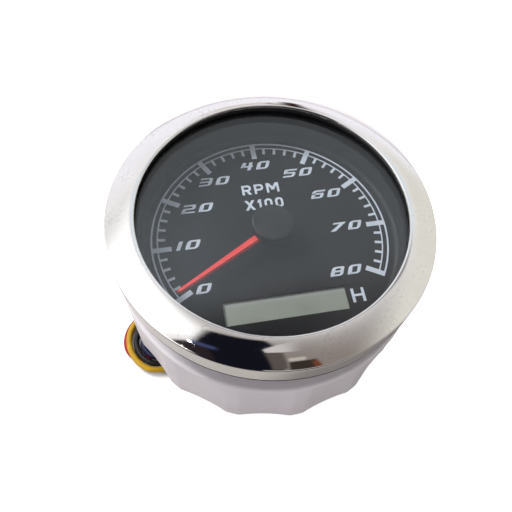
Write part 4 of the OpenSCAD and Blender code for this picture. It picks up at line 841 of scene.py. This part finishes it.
floor = {"half": 6.0, "frontShade": "#b2afac", "backShade": "#f6f3fa", "from": -0.06, "to": 0.12,
         "backGlow": 0.12, "seen": "#dcdcdc", "seenGlow": 0.85, "gap": 0.006, "shut": 0.45, "open": 0.8}
floorCorners = np.array([(-1, -1, 0), (1, -1, 0), (1, 1, 0), (-1, 1, 0)]) * floor["half"]
floorMesh = bpy.data.meshes.new("floor")
floorMesh.from_pydata(floorCorners.tolist(), [], [(0, 1, 2, 3)])
floorPiece = bpy.data.objects.new("floor", floorMesh)
# Matt studio board: burnt out to white in the frame. It lights the part from below with painted shade at the
# front and a painted glow behind, and narrow gaps, such as between the wires, have painted shade
board, tree, shader, place = newMaterial("pale studio board", Roughness=0.8, Emission_Color=(1, 1, 1, 1))
y = addNode(tree, "SeparateXYZ", {"Vector": place}, "Y")
# Painted shade at the front of the board and a painted glow behind it, in the light that it throws on the part
behind = addNode(tree, "MapRange", {"Value": y, "From Min": floor["from"], "From Max": floor["to"]},
                 interpolation_type="SMOOTHSTEP")
shades = {"Factor": behind, 6: toLinear(floor["frontShade"]), 7: toLinear(floor["backShade"])}
shade = addNode(tree, "Mix", shades, 2, data_type="RGBA")
seen = addNode(tree, "LightPath", {}, "Is Camera Ray")
colour = addNode(tree, "Mix", {"Factor": seen, 6: shade, 7: toLinear(floor["seen"])}, 2, data_type="RGBA")
glow = addNode(tree, "Math", {0: behind, 1: floor["backGlow"]}, operation="MULTIPLY")
# Painted shade in narrow gaps: the white that the camera sees fades where the board is enclosed
openness = addNode(tree, "AmbientOcclusion", {"Distance": floor["gap"]}, "AO", samples=8)
seenGlow = addNode(tree, "MapRange", {"Value": openness, "From Min": floor["shut"], "From Max": floor["open"],
                                      "To Max": floor["seenGlow"]})
strength = addNode(tree, "Mix", {"Factor": seen, 2: glow, 3: seenGlow}, data_type="FLOAT")
setInputs(shader, {"Base Color": colour, "Emission Strength": strength})
floorMesh.materials.append(board)
bpy.context.scene.collection.objects.link(floorPiece)


# Studio surroundings and light

def boxEdges(middle, half, turn, soft):
    # The four edges of a rectangle in the chart: outward direction in degrees, distance and softness of each
    turns = turn + np.array([0, 90, 180, 270])
    outward = np.stack([np.cos(np.radians(turns)), np.sin(np.radians(turns))], -1)
    return [(t, float(n @ middle) + w, soft) for t, n, w in zip(turns.tolist(), outward, half * 2)]


# Surroundings that the steel and the glass mirror. Places are on a chart of the sky: x / (1 + z) and
# y / (1 + z) of a direction, so straight up is (0, 0) and the horizon a circle of radius 1. A panel is a
# colour, a strength and its edges, and a later one lies over the earlier. Fill panels aren't mirrored.
studio = {
    "front": "#89807b", "back": "#f2f1f1", "rampTurn": 72.5, "ramp": (-0.26, 0.44), "strength": 1.05,
    "panels": [
        ("#e4e2da", 1.0, [(180, -0.4, 0.3)]),  # cream side on the right
        ("#f4f2f9", 1.08, [(270, -0.6, 0.3)]),  # lilac white at the back
        ("#ffffff", 1.5, boxEdges((-0.4, 0.1), (0.22, 0.24), 0, 0.25)),  # white of the bezel's left slope
        ("#dde4ea", 1.05, boxEdges((0.1, 0.33), (0.3, 0.1), 0, 0.08)),  # pale veil on the glass
        ("#dfe8f0", 1.3, boxEdges((-0.02, 0.27), (0.05, 0.05), 0, 0.08)),  # brighter on its left
        ("#3a3634", 1.0, boxEdges((0.04, 0.18), (0.08, 0.045), 0, 0.05)),  # dark stretch below the display
        ("#8c8886", 1.0, boxEdges((0.2, 0.17), (0.12, 0.05), 0, 0.08)),  # its greyer end on the right
        # Navy patch on the near slope, and its brown left end
        ("#12131c", 1.0, [(0, 0.005, 0.02), (133, 0.085, 0.04), (90, -0.015, 0.05), (270, 0.62, 0.1)]),
        ("#2a2226", 1.0, [(0, -0.24, 0.03), (90, -0.145, 0.02), (180, 0.42, 0.06), (270, 0.5, 0.1)]),
        ("#5a534f", 1.0, boxEdges((-0.008, -0.27), (0.03, 0.072), 2, 0.02)),  # grey strip beside it
        ("#38302b", 1.0, boxEdges((0.08, -0.33), (0.05, 0.04), 0, 0.012)),  # small brown block
        ("#74412f", 1.0, boxEdges((0.137, -0.335), (0.012, 0.035), 25, 0.015)),  # its reddish edge
        ("#bfbab0", 1.0, boxEdges((0.06, -0.272), (0.03, 0.014), 0, 0.015)),  # pale patch above it
        ("#35261f", 1.0, boxEdges((0.05, -0.39), (0.13, 0.04), 0, 0.01)),  # brown line under it
        # Pale wedge at the navy patch's right
        ("#cdc8c8", 1.0, [(139.5, -0.078, 0.01), (180, 0.036, 0.01), (270, 0.195, 0.01), (0, 0.05, 0.08)]),
        ("#4a433e", 1.0, [(90, -0.385, 0.03)]),  # thin dark line along the slope's near corner
        ("#dbd3d0", 1.0, boxEdges((0.13, 0.62), (0.16, 0.08), 0, 0.15)),  # cream stretch on the far slope
        ("#a08a84", 1.0, boxEdges((0.14, 0.61), (0.006, 0.09), -5, 0.02)),  # thin line in it
        ("#342424", 1.0, boxEdges((0.2, 0.64), (0.028, 0.15), -14, 0.045)),  # brown streak on the far slope
        ("#7c8ad0", 0.45, boxEdges((-0.25, -0.165), (0.05, 0.006), -22, 0.035)),  # blue haze beside the glint
        ("#ffeedd", 5.0, boxEdges((-0.352, -0.178), (0.003, 0.003), 0, 0.006)),  # fainter, warmer glint
        ("#ffffff", 40.0, boxEdges((-0.298, -0.15), (0.003, 0.003), 0, 0.006)),  # glint at the lower left
    ],
    "fillPanels": [
        ("#e9e3e6", 2.1, [(90, -0.6, 0.12)]),  # pale light low in front
        ("#f2eaf2", 2.4, boxEdges((-0.75, -0.4), (0.2, 0.3), 0, 0.2)),  # and low on the left
        ("#cdcad2", 0.75, [(270, -0.4, 0.3)]),  # softer from the back, so that white plastic keeps its shading
    ],
}
world = bpy.data.worlds.new("studio")
world.use_nodes = True
tree = world.node_tree
way = addNode(tree, "TexCoord", {}, "Generated")
height = addNode(tree, "SeparateXYZ", {"Vector": way}, "Z")
overOne = addNode(tree, "Math", {0: height, 1: 1.0}, operation="ADD")
overOne = addNode(tree, "Math", {0: overOne, 1: 0.2}, operation="MAXIMUM")
flat = addNode(tree, "VectorMath", {0: way, 1: (1, 1, 0)}, operation="MULTIPLY")
shrunk = addNode(tree, "Math", {0: 1.0, 1: overOne}, operation="DIVIDE")
chart = addNode(tree, "VectorMath", {0: flat, "Scale": shrunk}, operation="SCALE")


def beyond(turn, near, far):
    # How far the chart's place has gone from near to far along a direction, 0 to 1
    direction = (np.cos(np.radians(turn)), np.sin(np.radians(turn)), 0)
    along = addNode(tree, "VectorMath", {0: chart, 1: direction}, "Value", operation="DOT_PRODUCT")
    return addNode(tree, "MapRange", {"Value": along, "From Min": near, "From Max": far},
                   interpolation_type="SMOOTHSTEP")


ramp = beyond(studio["rampTurn"], *studio["ramp"])
room = {"Factor": ramp, 6: toLinear(studio["front"]), 7: toLinear(studio["back"])}
light = {0: addNode(tree, "Mix", room, 2, data_type="RGBA"), "Scale": studio["strength"]}
light = addNode(tree, "VectorMath", light, operation="SCALE")
mirrored = addNode(tree, "LightPath", {}, "Is Glossy Ray")
notMirrored = addNode(tree, "Math", {0: 1.0, 1: mirrored}, operation="SUBTRACT")
for kind, share in (("panels", 1.0), ("fillPanels", notMirrored)):
    for colour, strength, edges in studio[kind]:
        inside = share
        for turn, distance, soft in edges:
            edge = beyond(turn, distance + soft / 2, distance - soft / 2)
            inside = addNode(tree, "Math", {0: inside, 1: edge}, operation="MULTIPLY")
        shade = tuple(strength * v for v in toLinear(colour)[:3]) + (1.0,)
        light = addNode(tree, "Mix", {"Factor": inside, 6: light, 7: shade}, 2, data_type="RGBA")
setInputs(tree.nodes["Background"], {"Color": light})
bpy.context.scene.world = world

# Square soft key from the upper left and behind: the cap's and the pointer's soft shadow to the lower right
key = {"place": (-0.55, 0.42, 0.75), "aim": (0, 0, 0.04), "size": 0.26, "watts": 8.5, "colour": "#fffdf8"}
keyData = bpy.data.lights.new("soft_key", "AREA")
keyData.size, keyData.energy, keyData.color = key["size"], key["watts"], toLinear(key["colour"])[:3]
keyLamp = bpy.data.objects.new("soft_key", keyData)
dx, dy, dz = np.array(key["aim"], float) - np.array(key["place"], float)
keyLamp.location = key["place"]
keyLamp.rotation_euler = (np.arctan2(np.hypot(dx, dy), -dz), 0, -np.arctan2(dx, dy))
keyLamp.visible_glossy = False
bpy.context.scene.collection.objects.link(keyLamp)
bpy.context.scene.view_settings.view_transform = "Standard"
print("floor and light made")
